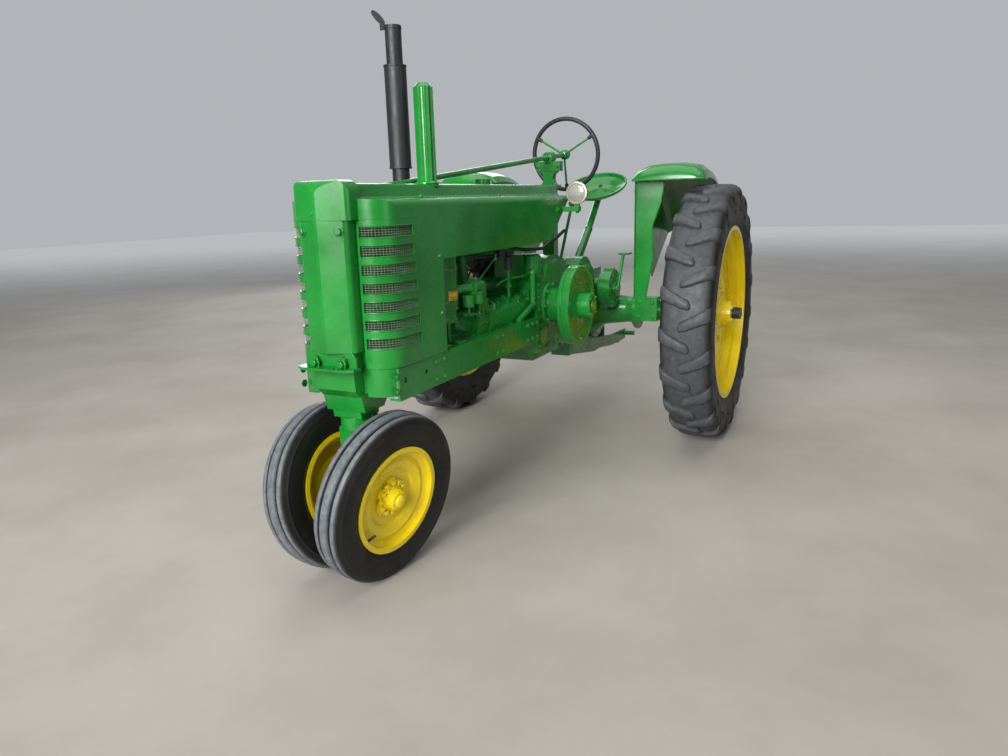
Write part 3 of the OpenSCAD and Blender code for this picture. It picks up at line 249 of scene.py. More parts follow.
class Piece:
    """Gathers simple solids, given in millimetres from the rear axle, into one mesh."""

    def __init__(self, name, material, body="root"):
        self.name, self.material, self.body = name, material, body
        self.mesh = bmesh.new()

    def skin(self, rings, closed=True, caps=True, joined=False):
        """Faces over rings of points; joined leads the last ring to the first."""
        made = [[self.mesh.verts.new(place(*p)) for p in ring] for ring in rings]
        n = len(made[0])
        pairs = list(zip(made, made[1:])) + ([(made[-1], made[0])] if joined else [])
        for low, high in pairs:
            for i in range(n if closed else n - 1):
                j = (i + 1) % n
                self.mesh.faces.new((low[i], low[j], high[j], high[i]))
        if caps and not joined:
            self.mesh.faces.new(made[0][::-1])
            self.mesh.faces.new(made[-1])

    def lathe(self, profile, centre, axis, sides=96, closed=False):
        """Solid of revolution from points of (distance along the axis, radius)."""
        along, u, v = basis(axis)
        centre = Vector(centre)
        rings = []
        for i in range(sides):
            a = 2 * math.pi * i / sides
            out = u * math.cos(a) + v * math.sin(a)
            rings.append([centre + along * d + out * r for d, r in profile])
        self.skin(rings, closed=closed, joined=True)

    def tube(self, points, radius, sides=12, joined=False):
        """Round bar through the points, its frame carried along without twist."""
        points = [Vector(p) for p in points]
        count = len(points)
        rings, u = [], None
        for i, p in enumerate(points):
            before = points[i - 1] if i or joined else p
            after = points[(i + 1) % count] if i < count - 1 or joined else p
            along = (after - before).normalized()
            u = basis(along)[1] if u is None else (u - along * u.dot(along)).normalized()
            v = along.cross(u)
            rings.append([p + (u * math.cos(a) + v * math.sin(a)) * radius
                          for a in (2 * math.pi * k / sides for k in range(sides))])
        self.skin(rings, joined=joined)

    def box(self, low, high):
        """Box between two opposite corners."""
        (x0, y0, z0), (x1, y1, z1) = low, high
        self.skin([[(x, y0, z0), (x, y1, z0), (x, y1, z1), (x, y0, z1)] for x in (x0, x1)])

    def bolt(self, centre, axis, radius, height):
        """Hexagon head with a chamfer, on a washer."""
        self.lathe([(0, 0), (0, radius * 1.35), (height * 0.22, radius * 1.35),
                    (height * 0.22, 0)], centre, axis, 24)
        low = height * 0.2
        self.lathe([(low, 0), (low, radius), (height * 0.85, radius), (height, radius * 0.82),
                    (height, 0)], centre, axis, 6)

    def bolts(self, centre, axis, ring_r, count, radius, height, start=0.0):
        """Ring of bolts round an axis."""
        along, u, v = basis(axis)
        for i in range(count):
            a = math.radians(start) + 2 * math.pi * i / count
            self.bolt(Vector(centre) + (u * math.cos(a) + v * math.sin(a)) * ring_r, axis,
                      radius, height)

    def done(self, replaces=(), wear_and_sheen_at=None, sharp=0.6):
        """Makes the object; its second argument gives a point's scuffing and painted sheen from
        its place in metres.
        """
        mesh = self.mesh
        bmesh.ops.remove_doubles(mesh, verts=mesh.verts, dist=1e-6)
        bmesh.ops.dissolve_degenerate(mesh, edges=mesh.edges, dist=1e-7)
        bmesh.ops.recalc_face_normals(mesh, faces=mesh.faces)
        for face in mesh.faces:
            face.smooth = True
        for edge in mesh.edges:
            edge.smooth = len(edge.link_faces) == 2 and edge.calc_face_angle(0) < sharp
        data = bpy.data.meshes.new(self.name)
        mesh.to_mesh(data)
        mesh.free()
        data.materials.append(self.material)
        if wear_and_sheen_at is not None:
            layer = data.attributes.new("wear_and_sheen", "FLOAT", "POINT")
            layer.data.foreach_set("value", [wear_and_sheen_at(v.co) for v in data.vertices])
        obj = bpy.data.objects.new(self.name, data)
        bpy.context.scene.collection.objects.link(obj)
        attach(obj, self.body)
        if replaces:
            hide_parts(*replaces)
        return obj


def arc(cx, cy, radius, start, end, count):
    """Points of an arc in a plane, angles in degrees."""
    return [(cx + radius * math.cos(math.radians(start + (end - start) * i / count)),
             cy + radius * math.sin(math.radians(start + (end - start) * i / count)))
            for i in range(count + 1)]


def both(profile):
    """A half profile of (distance, radius) with its mirror image after it."""
    return profile + [(-d, r) for d, r in reversed(profile) if d > 0]


SIDES = ((1, "left", "l"), (-1, "right", "r"))


# Front tyres: three ribs round the tread, a bead line and a scuff line on the side

STEER, CAMBER = math.radians(-8.0), math.radians(8.5)
FTYRE_R, FTYRE_HALF = 335.0, 66.0
FRONT_TYRE = both([
    (52.7, 198.2), (52.7, 213.6), (55.5, 220), (59.5, 226), (61.5, 231), (60.6, 235), (62.5, 243),
    (65, 256), (FTYRE_HALF, 270), (65.2, 286), (63, 297), (63.6, 301), (60.5, 305), (58, 312),
    (54.5, 320), (50, 326.5), (45, 330), (34, 331), (31, 329), (29.5, 321), (19, 321),
    (17.5, 329.5), (14, 334), (9, FTYRE_R)])


def front_axis(side):
    """Outward direction of a front wheel's axle."""
    y = side * math.cos(CAMBER)
    return Vector((-y * math.sin(STEER), y * math.cos(STEER), -math.sin(CAMBER)))


RIB_R, GROOVE_R = 328.0, 324.0


def make_front_tyres():
    """Ribbed front tyres, grey on the ribs from scuffed dust and a painted sheen of the sky."""
    for side, word, letter in SIDES:
        node = "front_tyre_" + word
        centre, axis = middle_of(node), front_axis(side)
        piece = Piece(node + "_ribbed", RUBBER, "front_wheel_" + letter)
        piece.lathe(FRONT_TYRE, centre, axis, 120, closed=True)
        middle = place(*centre)

        def wear_and_sheen_at(point):
            radius = math.sqrt(max(0.0, (point - middle).length_squared
                                   - (point - middle).dot(axis) ** 2)) / MM
            # Light grey on the rib tops is scuffed dust and a painted reflection of the sky; the
            # groove edges get a little of it.
            return 1.0 if radius > RIB_R else 0.3 if radius > GROOVE_R else 0.0

        piece.done([node], wear_and_sheen_at)


make_front_tyres()


# Rear tyres: two rows of slanted lugs with rounded backs on a smooth carcass

REAR_Y, REAR_R, LUG_N, LUG_T = 885.0, 738.0, 20, 54.0
# How far a lug runs back for each millimetre outward, and how deep it stands in the carcass
LUG_SLANT, LUG_FOOT = 0.45, 9
CARCASS = [(0, 716), (60, 714), (97, 709), (114, 701), (127, 686), (134, 664), (136.4, 636),
           (137, 606), (136.4, 584), (133, 562), (128, 541), (124, 528), (125.5, 523), (120, 513),
           (114.7, 505.8), (114.7, 491.2)]
# Stations along a lug: distance from the tyre's middle, top radius and fullness
LUG_ROWS = [(-30, 731, 0.30), (-26, 736, 0.62), (-16, 738, 0.94), (14, 738, 1.04),
            (55, 738, 1.14), (88, 737, 1.24), (106, 732, 1.30), (120, 723, 1.34),
            (130, 710, 1.36), (136, 690, 1.34), (138.2, 668, 1.2), (137.6, 648, 1.0)]


def carcass_radius(y):
    """Radius of the smooth carcass at a distance from the tyre's middle."""
    for (y0, r0), (y1, r1) in zip(CARCASS, CARCASS[1:8]):
        if y0 <= abs(y) <= y1:
            return r0 + (r1 - r0) * (abs(y) - y0) / (y1 - y0)
    return 600.0


WORN_FROM, WORN_OVER, WORN_MOST = 690.0, 60.0, 0.42


def make_rear_tyres():
    """Rear tyres, greyer towards the tread."""
    for side, word, letter in SIDES:
        node = "rear_tyre_" + word
        piece = Piece(node + "_lugged", RUBBER, "rear_wheel_" + letter)
        centre = Vector((0, side * REAR_Y, REAR_R))
        piece.lathe([(-d, r) for d, r in reversed(CARCASS) if d > 0] + CARCASS, centre,
                    (0, side, 0), 160, closed=True)
        for i in range(2 * LUG_N):
            hand = 1 if i % 2 == 0 else -1
            turn = math.pi * i / LUG_N
            rings = []
            for y, top, full in LUG_ROWS:
                middle = -LUG_T / 2 - LUG_SLANT * max(0, y + 4) - (full - 1) * 16
                w = LUG_T / 2 * full
                low = min(carcass_radius(y), top) - LUG_FOOT
                ring = []
                for x, r in ((-w - 5, low), (-w - 1, top - 12), (-w + 2, top - 4),
                             (-w + 8, top), (w - 8, top), (w - 2, top - 4), (w + 1, top - 12),
                             (w + 5, low)):
                    a = turn + (middle + x) / REAR_R
                    ring.append(centre + Vector((r * math.sin(a), side * hand * y,
                                                 r * math.cos(a))))
                rings.append(ring)
            piece.skin(rings)
        middle = place(*centre)

        def wear_and_sheen_at(point):
            radius = math.hypot(point.x - middle.x, point.z - middle.z) / MM
            return max(0.0, min(WORN_MOST, (radius - WORN_FROM) / WORN_OVER))

        piece.done([node], wear_and_sheen_at, sharp=0.9)


make_rear_tyres()


# Wheels: nuts, bolts, axle ends and valve stems

AXLE_END_LENGTH, AXLE_END_R = 50.0, 33.4


def make_wheel_fasteners():
    """Nuts on the front hubs' lobes, the rear hubs' bolts and the black axle ends."""
    for side, word, letter in SIDES:
        piece = Piece("front_hub_nuts_" + word, YELLOW, "front_wheel_" + letter)
        centre, axis = middle_of("front_tyre_" + word), front_axis(side)
        piece.bolts(centre + axis * 20, axis, 62, 6, 11, 11)
        piece.lathe([(62, 0), (62, 26), (68, 24), (73, 16), (75, 0)], centre, axis, 48)
        piece.lathe([(21, 150), (27, 151), (29, 156), (27, 161), (21, 162)], centre, axis, 96,
                    closed=True)
        piece.done()
        piece = Piece("rear_hub_bolts_" + word, YELLOW, "rear_wheel_" + letter)
        centre, axis = Vector((0, side * REAR_Y, REAR_R)), Vector((0, side, 0))
        piece.bolts(centre + axis * 48, axis, 150, 8, 13, 14)
        piece.bolts(centre + axis * 36, -axis, 150, 8, 13, 12)
        piece.bolts(centre + axis * 124, axis, 48, 4, 8, 9, 45)
        piece.done()
        piece = Piece("axle_end_" + word, BLACK, "rear_wheel_" + letter)
        low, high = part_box("rear_wheel_" + word)
        end = max(abs(low.y), abs(high.y)) / MM - REAR_Y
        start = end - AXLE_END_LENGTH
        piece.lathe([(start, 0), (start, AXLE_END_R), (end - 1, AXLE_END_R),
                     (end + 0.5, 31.5), (end + 0.5, 0)], centre, axis, 48)
        piece.done()


make_wheel_fasteners()


def make_valve_stems():
    """Short valve stems that stand out of the rims."""
    for side, word, letter in SIDES:
        centre, axis = middle_of("front_tyre_" + word), front_axis(side)
        along, u, v = basis(axis)
        piece = Piece("valve_stem_" + word, BLACK, "front_wheel_" + letter)
        out = (u * math.cos(0.7) + v * math.sin(0.7)) * side
        start = centre + axis * 40 + out * 190
        piece.tube([start, start + axis * 6 - out * 14, start + axis * 16 - out * 34], 5, 10)
        piece.done()
        piece = Piece("rear_valve_stem_" + word, BLACK, "rear_wheel_" + letter)
        piece.tube([(x, side * (REAR_Y + y), REAR_R + z) for x, y, z in (
            (60, 92, 476), (58, 84, 452), (56, 70, 436))], 6, 10)
        piece.done()


make_valve_stems()


# Grille: folded lips round the slots and woven wire behind them

# Half the bonnet's width, the panels' front plane and the radius of their front corner
HOOD_HALF, FRONT_X, CORNER = 220.0, 2352.0, 98.0
SLOT_TOP, SLOT_H, SLOT_PITCH, SLOT_N = 1347.0, 40.0, 66.0, 7
# Each slot's rear end lies this much further back than that of the slot above it
SLOT_SHIFT = 4.2
WIRE_R, WIRE_RISE, WIRE_STEP, WIRE_N = 1.0, 8.4, 12.2, 58
WIRE_LOW, WIRE_TOP = 869.0, 1359.0


def grille_line(start_x, end_y, inset):
    """Plan of the panel's skin on the left, from its side round the corner to the front."""
    bend = arc(FRONT_X - CORNER, HOOD_HALF - CORNER, CORNER - inset, 90, 0, 16)
    return [(start_x, HOOD_HALF - inset)] + bend + [(FRONT_X - inset, end_y)]


def make_grille():
    """Folded lips round the slots and inside them, and one woven screen a side."""
    lips = Piece("grille_lips", GREEN)
    wires = Piece("grille_wire", SCREEN)
    for side, _, _ in SIDES:
        for i in range(SLOT_N):
            top = SLOT_TOP - i * SLOT_PITCH
            line = grille_line(2166 - SLOT_SHIFT * i, 118.5, -0.6)
            upper = [(x, side * y, top) for x, y in line]
            lower = [(x, side * y, top - SLOT_H) for x, y in reversed(line)]
            lips.tube(upper + lower, 2.6, 8, joined=True)
            inner = grille_line(2168 - SLOT_SHIFT * i, 120, 3.4)
            for z in (top + 0.5, top - SLOT_H - 0.5):
                lips.tube([(x, side * y, z) for x, y in inner], 2.2, 6)
        line = grille_line(2112, 111, 6.0)
        for k in range(WIRE_N):
            z = 872 + WIRE_RISE * k
            wires.tube([(x, side * y, z) for x, y in line], WIRE_R, 4)
        length = 0.0
        for (x0, y0), (x1, y1) in zip(line, line[1:]):
            step = math.hypot(x1 - x0, y1 - y0)
            while length < step:
                x, y = x0 + (x1 - x0) * length / step, y0 + (y1 - y0) * length / step
                wires.tube([(x, side * y, WIRE_LOW), (x, side * y, WIRE_TOP)], WIRE_R, 4)
                length += WIRE_STEP
            length -= step
    lips.done()
    wires.done(["grille_screens"])


make_grille()


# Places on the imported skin, found from a start well in front of it or above it

AHEAD, ABOVE_HOOD, ABOVE_SEAT = 2600.0, 1600.0, 1700.0


def on_skin(node, start, axis):
    """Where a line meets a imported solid, in millimetres from the rear axle, and the way out."""
    mesh = nodes[node].data
    tree = BVHTree.FromPolygons([v.co for v in mesh.vertices],
                                [p.vertices for p in mesh.polygons])
    hit, normal, _, _ = tree.ray_cast(place(*start), Vector(axis))
    if normal.dot(Vector(axis)) > 0:
        normal = -normal
    return (hit - place(0, 0, 0)) / MM, normal


# Lamps, steering wheel, seat and fenders

SHAFT_SLOPE = math.radians(5.7)
WHEEL, RIM_R = Vector((75, 0, 1680)), 206.0
SHAFT = Vector((math.cos(SHAFT_SLOPE), 0, -math.sin(SHAFT_SLOPE)))
WHEEL_DOWN = Vector((-math.sin(SHAFT_SLOPE), 0, -math.cos(SHAFT_SLOPE)))
LAMP_X, LAMP_Y, LAMP_Z = 636, 288, 1447


def make_lamps():
    """Rings, ribbed lenses and fasteners of both headlights."""
    shell, lens = Piece("lamp_fasteners", GREEN), Piece("lamp_lenses", GLASS)
    ring = Piece("lamp_rings", RING)
    for side, _, _ in SIDES:
        centre = (LAMP_X, side * LAMP_Y, LAMP_Z)
        ring.lathe(both([(6, 50), (6, 56), (4, 59.5), (0, 60.5)]),
                   (LAMP_X + 20, side * LAMP_Y, LAMP_Z), (1, 0, 0), 64, closed=True)
        shell.lathe([(-66, 0), (-66, 9), (-70, 8), (-72, 0)], centre, (1, 0, 0), 24)
        shell.bolt((LAMP_X + 8, side * LAMP_Y, 1352), (0, 0, -1), 9, 10)
        for x in (716, 770):
            shell.bolt((x, side * 229, 1365), (0, side, 0), 7, 7)
        lens.lathe([(17, 0), (17, 53), (20, 52), (25, 42), (28, 24), (29, 0)], centre,
                   (1, 0, 0), 64)
        for k in range(-4, 5):
            half = math.sqrt(46 ** 2 - (k * 10) ** 2)
            lens.tube([(LAMP_X + 28.5 - (math.hypot(k * 10, z) / 52) ** 2 * 8.5,
                        side * LAMP_Y + k * 10, LAMP_Z + z)
                       for z in (-half, -half * 0.6, 0, half * 0.6, half)], 1.6, 6)
    shell.done()
    ring.done()
    lens.done()


def make_steering_wheel():
    """Black rim and hub, green spokes and the long shaft to the front."""
    rim = Piece("steering_rim", BLACK, "steering_wheel")
    ring = []
    for i in range(96):
        a = 2 * math.pi * i / 96
        ring.append(WHEEL + WHEEL_DOWN * (RIM_R * math.cos(a))
                    + Vector((0, RIM_R * math.sin(a), 0)))
    rim.tube(ring, 13, 16, joined=True)
    rim.lathe([(-14, 0), (-14, 19), (-10, 24), (-6, 25), (-6, 0)], WHEEL, SHAFT, 48)
    spokes = Piece("steering_spokes", GREEN, "steering_wheel")
    for a in (0, 2 * math.pi / 3, 4 * math.pi / 3):
        out = WHEEL_DOWN * math.cos(a) + Vector((0, math.sin(a), 0))
        spokes.tube([WHEEL + SHAFT * 22 + out * 18, WHEEL + SHAFT * 20 + out * 60,
                     WHEEL + SHAFT * 10 + out * 140, WHEEL + SHAFT * 2 + out * 200], 6.5, 14)
        rim.tube([WHEEL + SHAFT * 5 + out * 172, WHEEL + SHAFT * 2 + out * 200], 11, 14)
    spokes.lathe([(-8, 0), (-8, 24), (-2, 29), (26, 29), (34, 22), (52, 20), (54, 13.2),
                  (2145, 13), (2145, 0)], WHEEL, SHAFT, 32)
    rim.done(["steering_wheel"])
    spokes.done()


# Section of a fender's crown: distance from the axle's middle line, and across
FENDER_CROWN = [(800, 452), (835, 482), (856, 542), (866, 630), (866, 710), (852, 802),
                (820, 840), (778, 852)]
FENDER_START, FENDER_SWEEP = 81, 66
# The crown's outer edge, and the height above which its front end turns down
EDGE_R, EDGE_Y, BEND_Z = 778, 850, 1508


def make_fender_trim():
    """Rolled edges, the crown's turned-down front end and the bolts of both fenders."""
    beads, ends = Piece("fender_beads", GREEN), Piece("fender_ends", GREEN)
    for side, _, _ in SIDES:
        arcs = [math.radians(FENDER_START + FENDER_SWEEP * i / 40) for i in range(41)]
        beads.tube([(EDGE_R * math.cos(a), side * EDGE_Y, REAR_R + EDGE_R * math.sin(a))
                    for a in arcs], 6, 10)
        for a in (arcs[0], arcs[-1]):
            beads.tube([(r * math.cos(a), side * y, REAR_R + r * math.sin(a))
                        for r, y in FENDER_CROWN], 5, 10)
        rings = []
        for i in range(9):
            turn = math.pi / 2 * i / 8
            outer, inner = [], []
            for r, y in FENDER_CROWN:
                x = r * math.cos(arcs[0]) - 3
                z = REAR_R + r * math.sin(arcs[0])
                drop = max(0.0, z - BEND_Z)
                outer.append((x + 78 * math.sin(turn), side * y, z - drop * (1 - math.cos(turn))))
                inner.append((x + 75 * math.sin(turn) - 1, side * (y + (2 if y < 630 else -2)),
                              outer[-1][2] - 3))
            rings.append(outer + inner[::-1])
        ends.skin(rings)
        beads.tube([(x, y, z) for x, y, z in rings[-1][:8]], 4, 10)
        beads.tube([(124, side * 453, 826), (124, side * 453, 1518)], 4.5, 10)
        beads.tube([(121, side * y, z) for y, z in (
            (522, 824), (562, 1070), (556, 1250), (602, 1376), (626, 1516))], 4.5, 10)
        for z in (900, 1010, 1120, 1230, 1340, 1450):
            beads.bolt((112, side * 452, z), (0, -side, 0), 8, 7)
        for y in (482, 566):
            for z in (712, 802):
                beads.bolt((122, side * y, z), (1, 0, 0), 11, 10)
    beads.done()
    ends.done()


def make_seat_fittings():
    """Two bolts, and a black disc of painted shade where the seat pan's drain opening shows dark.
    """
    piece, drain_shade = Piece("seat_bolts", GREEN), Piece("seat_drain_shade", BLACK)
    spot, normal = on_skin("seat_pan", (-620, -16, ABOVE_SEAT), (0, 0, -1))
    # A thin black disc on the pan stands for the dark of the drain opening: painted shade.
    drain_shade.lathe([(0, 0), (0, 15), (2, 15), (2, 0)], spot, normal, 32)
    for y in (40, -40):
        spot, normal = on_skin("seat_pan", (-560, y, ABOVE_SEAT), (0, 0, -1))
        piece.bolt(spot, normal, 8, 6)
    piece.done()
    drain_shade.done()


make_lamps()
make_steering_wheel()
make_fender_trim()
make_seat_fittings()


# Engine: fasteners, pipes, rods and wires

CRANK_X, CRANK_Z, HEAD_X = 835.0, 876.0, 1470.0
RAIL_Y, CASE_Y = 214, 200
CLEANER_X, CLEANER_Y, LABEL_R = 1795, 98, 76.9
COVER_Z = 898
RISER_X, RISER_Y = 1231, 150
FILTER_X, FILTER_Y = 1290, 138
GENERATOR = (900, -132, 1112)


def make_fasteners():
    """Bolt heads on rails, case, pedestal, engine, bonnet, bracket and nose."""
    bolts = Piece("frame_bolts", GREEN)
    for side, _, _ in SIDES:
        out = (0, side, 0)
        for x in (1046, 1100, 1160, 1440, 1500, 1980, 2040):
            for z in (738, 810):
                bolts.bolt((x, side * RAIL_Y, z), out, 10, 9)
        for x, z in ((2318, 752), (2318, 808)):
            bolts.bolt((x, side * RAIL_Y, z), out, 11, 10)
        for z in range(672, 1000, 64):
            bolts.bolt((988, side * CASE_Y, z), out, 9, 9)
        for x in range(604, 960, 58):
            bolts.bolt((x, side * CASE_Y, 662), out, 8, 8)
        for x in (1498, 1540):
            for z in (820, 876, 932):
                bolts.bolt((x, side * 160, z), out, 9, 9)
        for x in (1990, 2060):
            bolts.bolt((x, side * 195, 880), out, 8, 8)
            bolts.bolt((x, side * 190, 1306), out, 8, 8)
        for x, z in ((1982, 996), (1983, 1218)):
            bolts.lathe([(0, 0), (0, 9), (3, 8), (6, 4), (6.5, 0)], (x, side * HOOD_HALF, z),
                        out, 24)
        for x in (1931, 1240, 700):
            spot, normal = on_skin("hood", (x, side * 117, ABOVE_HOOD), (0, 0, -1))
            bolts.lathe([(0, 0), (0, 8), (3, 7), (5, 3), (5.5, 0)], spot, normal, 24)
        spot, normal = on_skin("pedestal", (AHEAD, side * 77, 1333), (-1, 0, 0))
        bolts.bolt(spot, normal, 14, 13)
        bolts.bolts((0, side * 172, REAR_R), out, 168, 12, 10, 10)
        bolts.bolts((0, side * 437, REAR_R), (0, -side, 0), 102, 8, 9, 9)
        bolts.bolts((170, side * 345, 885), out, 92, 6, 8, 8)
        bolts.box((150, side * 285, 990), (190, side * 340, 1006))
    for a in range(0, 360, 60):
        bolts.bolt((395 + 122 * math.cos(math.radians(a)), 236,
                    955 + 122 * math.sin(math.radians(a))), (0, 1, 0), 8, 8)
    for x, z in ((592, 702), (688, 702), (592, 758), (688, 758)):
        bolts.bolt((x, 212, z), (0, 1, 0), 7, 7)
    for y in (-132, -66, 0, 66, 132):
        for z in (828, 956):
            bolts.bolt((HEAD_X + 109, y, z), (1, 0, 0), 9, 9)
    for x in (HEAD_X + 18, HEAD_X + 78):
        for y in (-40, 4, 150):
            bolts.bolt((x, y, 986), (0, 0, 1), 11, 14)
    bolts.bolts((944, 152, 1040), (0, 0, 1), 46, 4, 6, 7, 45)
    for y in (-60, 60):
        bolts.bolt((359, y, 1605), (1, 0, 0), 9, 9)
        spot, normal = on_skin("front_bracket", (AHEAD, y, 868), (-1, 0, 0))
        bolts.bolt(spot, normal, 15, 16)
    spot, normal = on_skin("nose_cap", (AHEAD, -14, 1395), (-1, 0, 0))
    bolts.lathe([(0, 0), (0, 9), (4, 8), (6, 4), (6.5, 0)], spot, normal, 24)
    bolts.done()


def make_pipes():
    """Rods, pipes and flanges in the engine's open side, and the valve cover's front."""
    green = Piece("engine_pipes", GREEN)
    green.tube([(1586, 158, 1061), (1480, 158, 1112), (1377, 152, 1163)], 5)
    green.tube([(1363, 150, 1030), (1310, 152, 1046), (1240, 152, 1050), (1100, 156, 1047),
                (990, 160, 1050), (960, 170, 1048)], 6)
    green.tube([(RISER_X, RISER_Y, 960), (RISER_X, RISER_Y, 1090)], 8)
    green.lathe([(0, 8), (0, 15), (14, 15), (14, 8)], (RISER_X, RISER_Y, 1010), (0, 0, 1), 6,
                closed=True)
    green.tube([(1716, 168, 948), (1640, 166, 938), (1560, 164, 926), (1548, 158, 926)], 8)
    green.lathe([(0, 0), (0, 16), (20, 16), (20, 0)], (1604, 166, 933), (-1, 0, -0.15), 6)
    green.tube([(1692, 180, 980), (1692, 180, 950), (1670, 172, 935), (1640, 164, 928)], 5)
    # Upright flanges and nuts on the block's left side, then the valve cover's front
    for x in (1252, 1405):
        green.tube([(x, 160, 790), (x, 163, 860), (x, 156, 950), (x, 120, 966)], 9, 12)
    for x in (1160, 1330, 1440):
        for z in (800, 905):
            green.bolt((x, 158, z), (0, 1, 0), 10, 12)
    green.skin([[(x, y * k, COVER_Z + (z - COVER_Z) * k) for y, z in (
        (-112, 846), (112, 846), (126, 862), (126, 934), (112, 950), (-112, 950), (-126, 934),
        (-126, 862))] for x, k in ((1630, 1.0), (1686, 0.98), (1700, 0.90))])
    green.done()


def make_wires():
    """Wires to the plugs, the black hose under the bonnet, the coil and the filter."""
    black = Piece("engine_wires", BLACK)
    for y, x in ((-70, 1520), (70, 1536)):
        black.tube([(1060, -214, 1070), (1080, -190, 1110), (1200, -150, 1132),
                    (1400, y - 30, 1110), (x - 10, y, 1050), (x, y, 1012)], 4.5, 10)
        black.lathe([(0, 0), (0, 10), (10, 10), (12, 6), (30, 5), (30, 0)], (x, y, 986),
                    (0, 0, 1), 12)
    black.tube([(590, 190, 1250), (680, 176, 1212), (820, 160, 1168), (1000, 150, 1172),
                (1160, 140, 1190), (1260, 120, 1230)], 9)
    black.lathe([(0, 0), (0, 17), (6, 20), (60, 20), (66, 15), (84, 14), (84, 0)],
                (RISER_X, RISER_Y, 1094), (0, 0, 1), 32)
    black.lathe([(0, 0), (0, 26), (46, 26), (52, 20), (52, 0)], (FILTER_X, FILTER_Y, 1160),
                (0, 0, 1), 32)
    black.tube([(FILTER_X, FILTER_Y, 1180), (1350, 130, 1168), (1450, 110, 1172),
                (1560, 60, 1190)], 6)
    black.done()


def make_bright_fittings():
    """Bare steel nuts and unions on the rods and pipes."""
    bright = Piece("engine_bright", STEEL)
    bright.lathe([(0, 0), (0, 7), (20, 7), (20, 0)], (RISER_X, RISER_Y, 1078), (0, 0, 1), 6)
    bright.lathe([(0, 0), (0, 10), (10, 10), (14, 7), (30, 6), (30, 0)], (1377, 152, 1150),
                 (-0.2, 0, 1), 16)
    bright.lathe([(0, 0), (0, 8), (9, 8), (9, 5), (18, 5), (18, 0)], (1618, 176, 1081),
                 (0, 0, 1), 6)
    bright.done()


def make_generator():
    """Dark generator and its bracket on the engine's right side."""
    piece = Piece("generator", BLACK)
    piece.lathe([(0, 0), (0, 44), (8, 58), (150, 58), (158, 46), (176, 44), (176, 0)],
                GENERATOR, (1, 0, 0), 48)
    piece.lathe([(176, 0), (176, 14), (184, 14), (184, 40), (190, 42), (202, 34), (214, 42),
                 (218, 40), (218, 0)], GENERATOR, (1, 0, 0), 48)
    piece.box((930, -150, 1031), (1040, -114, 1070))
    piece.done()


def make_governor_case():
    """Rounded casting on the crankcase's top, between the governor and the control shaft."""
    case = Piece("governor_case", GREEN)
    rings = []
    for x, k in ((690, 0.86), (700, 0.97), (716, 1.0), (868, 1.0), (884, 0.97), (892, 0.86)):
        rings.append([(x, 130 + (y - 130) * k, 1060 + (z - 1060) * k) for y, z in (
            (80, 1030), (184, 1030), (188, 1060), (186, 1096), (172, 1116), (130, 1124),
            (88, 1116), (80, 1096))])
    case.skin(rings)
    for x in (716, 790, 864):
        case.bolt((x, 186, 1062), (0, 1, 0), 8, 8)
    case.done()


def make_cleaner_trim():
    """Collars where the stacks pass the bonnet, clamp bands and a plain label on the
    air cleaner's outer side."""
    collars = Piece("stack_collars", GREEN)
    for y, r in ((63, 40), (-63, 36)):
        collars.lathe([(-14, r + 0.5), (-14, r + 6), (0, r + 6), (0, r + 12), (4, r + 11),
                       (9, r + 5), (9, r + 0.5)], (1790, y, 1496), (0, 0, 1), 64, closed=True)
    collars.done()
    bands = Piece("cleaner_bands", GREEN)
    for z, r in ((1010, 76), (1150, 76), (940, 70)):
        bands.lathe(both([(7, r - 1), (7, r + 1.5), (5, r + 2.5), (0, r + 2.5)]),
                    (CLEANER_X, CLEANER_Y, z), (0, 0, 1), 64, closed=True)
    bands.done()
    label, lines = Piece("cleaner_label", LABEL), Piece("cleaner_label_lines", BLACK)
    columns = arc(CLEANER_X, CLEANER_Y, LABEL_R, 60, 150, 18)
    label.skin([[(x, y, 1020), (x, y, 1060)] for x, y in columns], closed=False, caps=False)
    for z in (1024, 1033, 1056):
        lines.tube([(x, y, z) for x, y in columns[1:-1]], 1.2, 6)
    label.done()
    lines.done()


def make_radiator_core():
    """Upright fins in front of the core and level ones behind it."""
    core = Piece("radiator_fins", CORE)
    for k in range(76):
        y = -187 + 5 * k
        core.box((1966, y - 0.6, 908), (1972, y + 0.6, 1288))
    for k in range(27):
        z = 915 + 14 * k
        core.box((2059, -186, z - 1), (2064, 186, z + 1))
    core.done()


def make_dials():
    """Three dials on the dash, under the bonnet's open rear end."""
    rims, faces = Piece("dial_rims", BLACK), Piece("dial_faces", DIAL)
    out = Vector((-0.617, 0, -0.787))
    for y in (-120, 0, 120):
        middle = Vector((733, y, 1330))
        rims.lathe([(0, 26), (0, 32), (7, 32), (9, 29), (9, 26)], middle, out, 48, closed=True)
        rims.tube([middle + out * 6, middle + out * 6 + Vector((14, 9, -11))], 1.2, 6)
        faces.lathe([(0, 0), (0, 27), (5, 27), (5, 0)], middle, out, 48)
    rims.done()
    faces.done()


def make_flywheel_face():
    """Shallow dished plate between the flywheel's rim and hub, with the hub's bolts."""
    plate = Piece("flywheel_face", GREEN, "flywheel")
    plate.lathe([(364, 64), (376, 67), (371, 84), (366, 120), (367, 160), (374, 173), (352, 168)],
                (CRANK_X, 0, CRANK_Z), (0, 1, 0), 96, closed=True)
    plate.bolts((CRANK_X, 440, CRANK_Z), (0, 1, 0), 54, 4, 7, 8, 45)
    plate.done()


make_fasteners()
make_flywheel_face()
make_pipes()
make_wires()
make_bright_fittings()
make_generator()
make_governor_case()
make_cleaner_trim()
make_radiator_core()
make_dials()


# Floor and light

LIGHTER_WAY = (-0.90, -0.44, 0.0)
DARK_SIDE, LIGHT_SIDE = (0.12, 0.125, 0.13), (0.44, 0.46, 0.48)
FLOOR_SIZE, FADE_NEAR, FADE_FAR, FADE_MOST = 60, 4.0, 27.0, 0.9


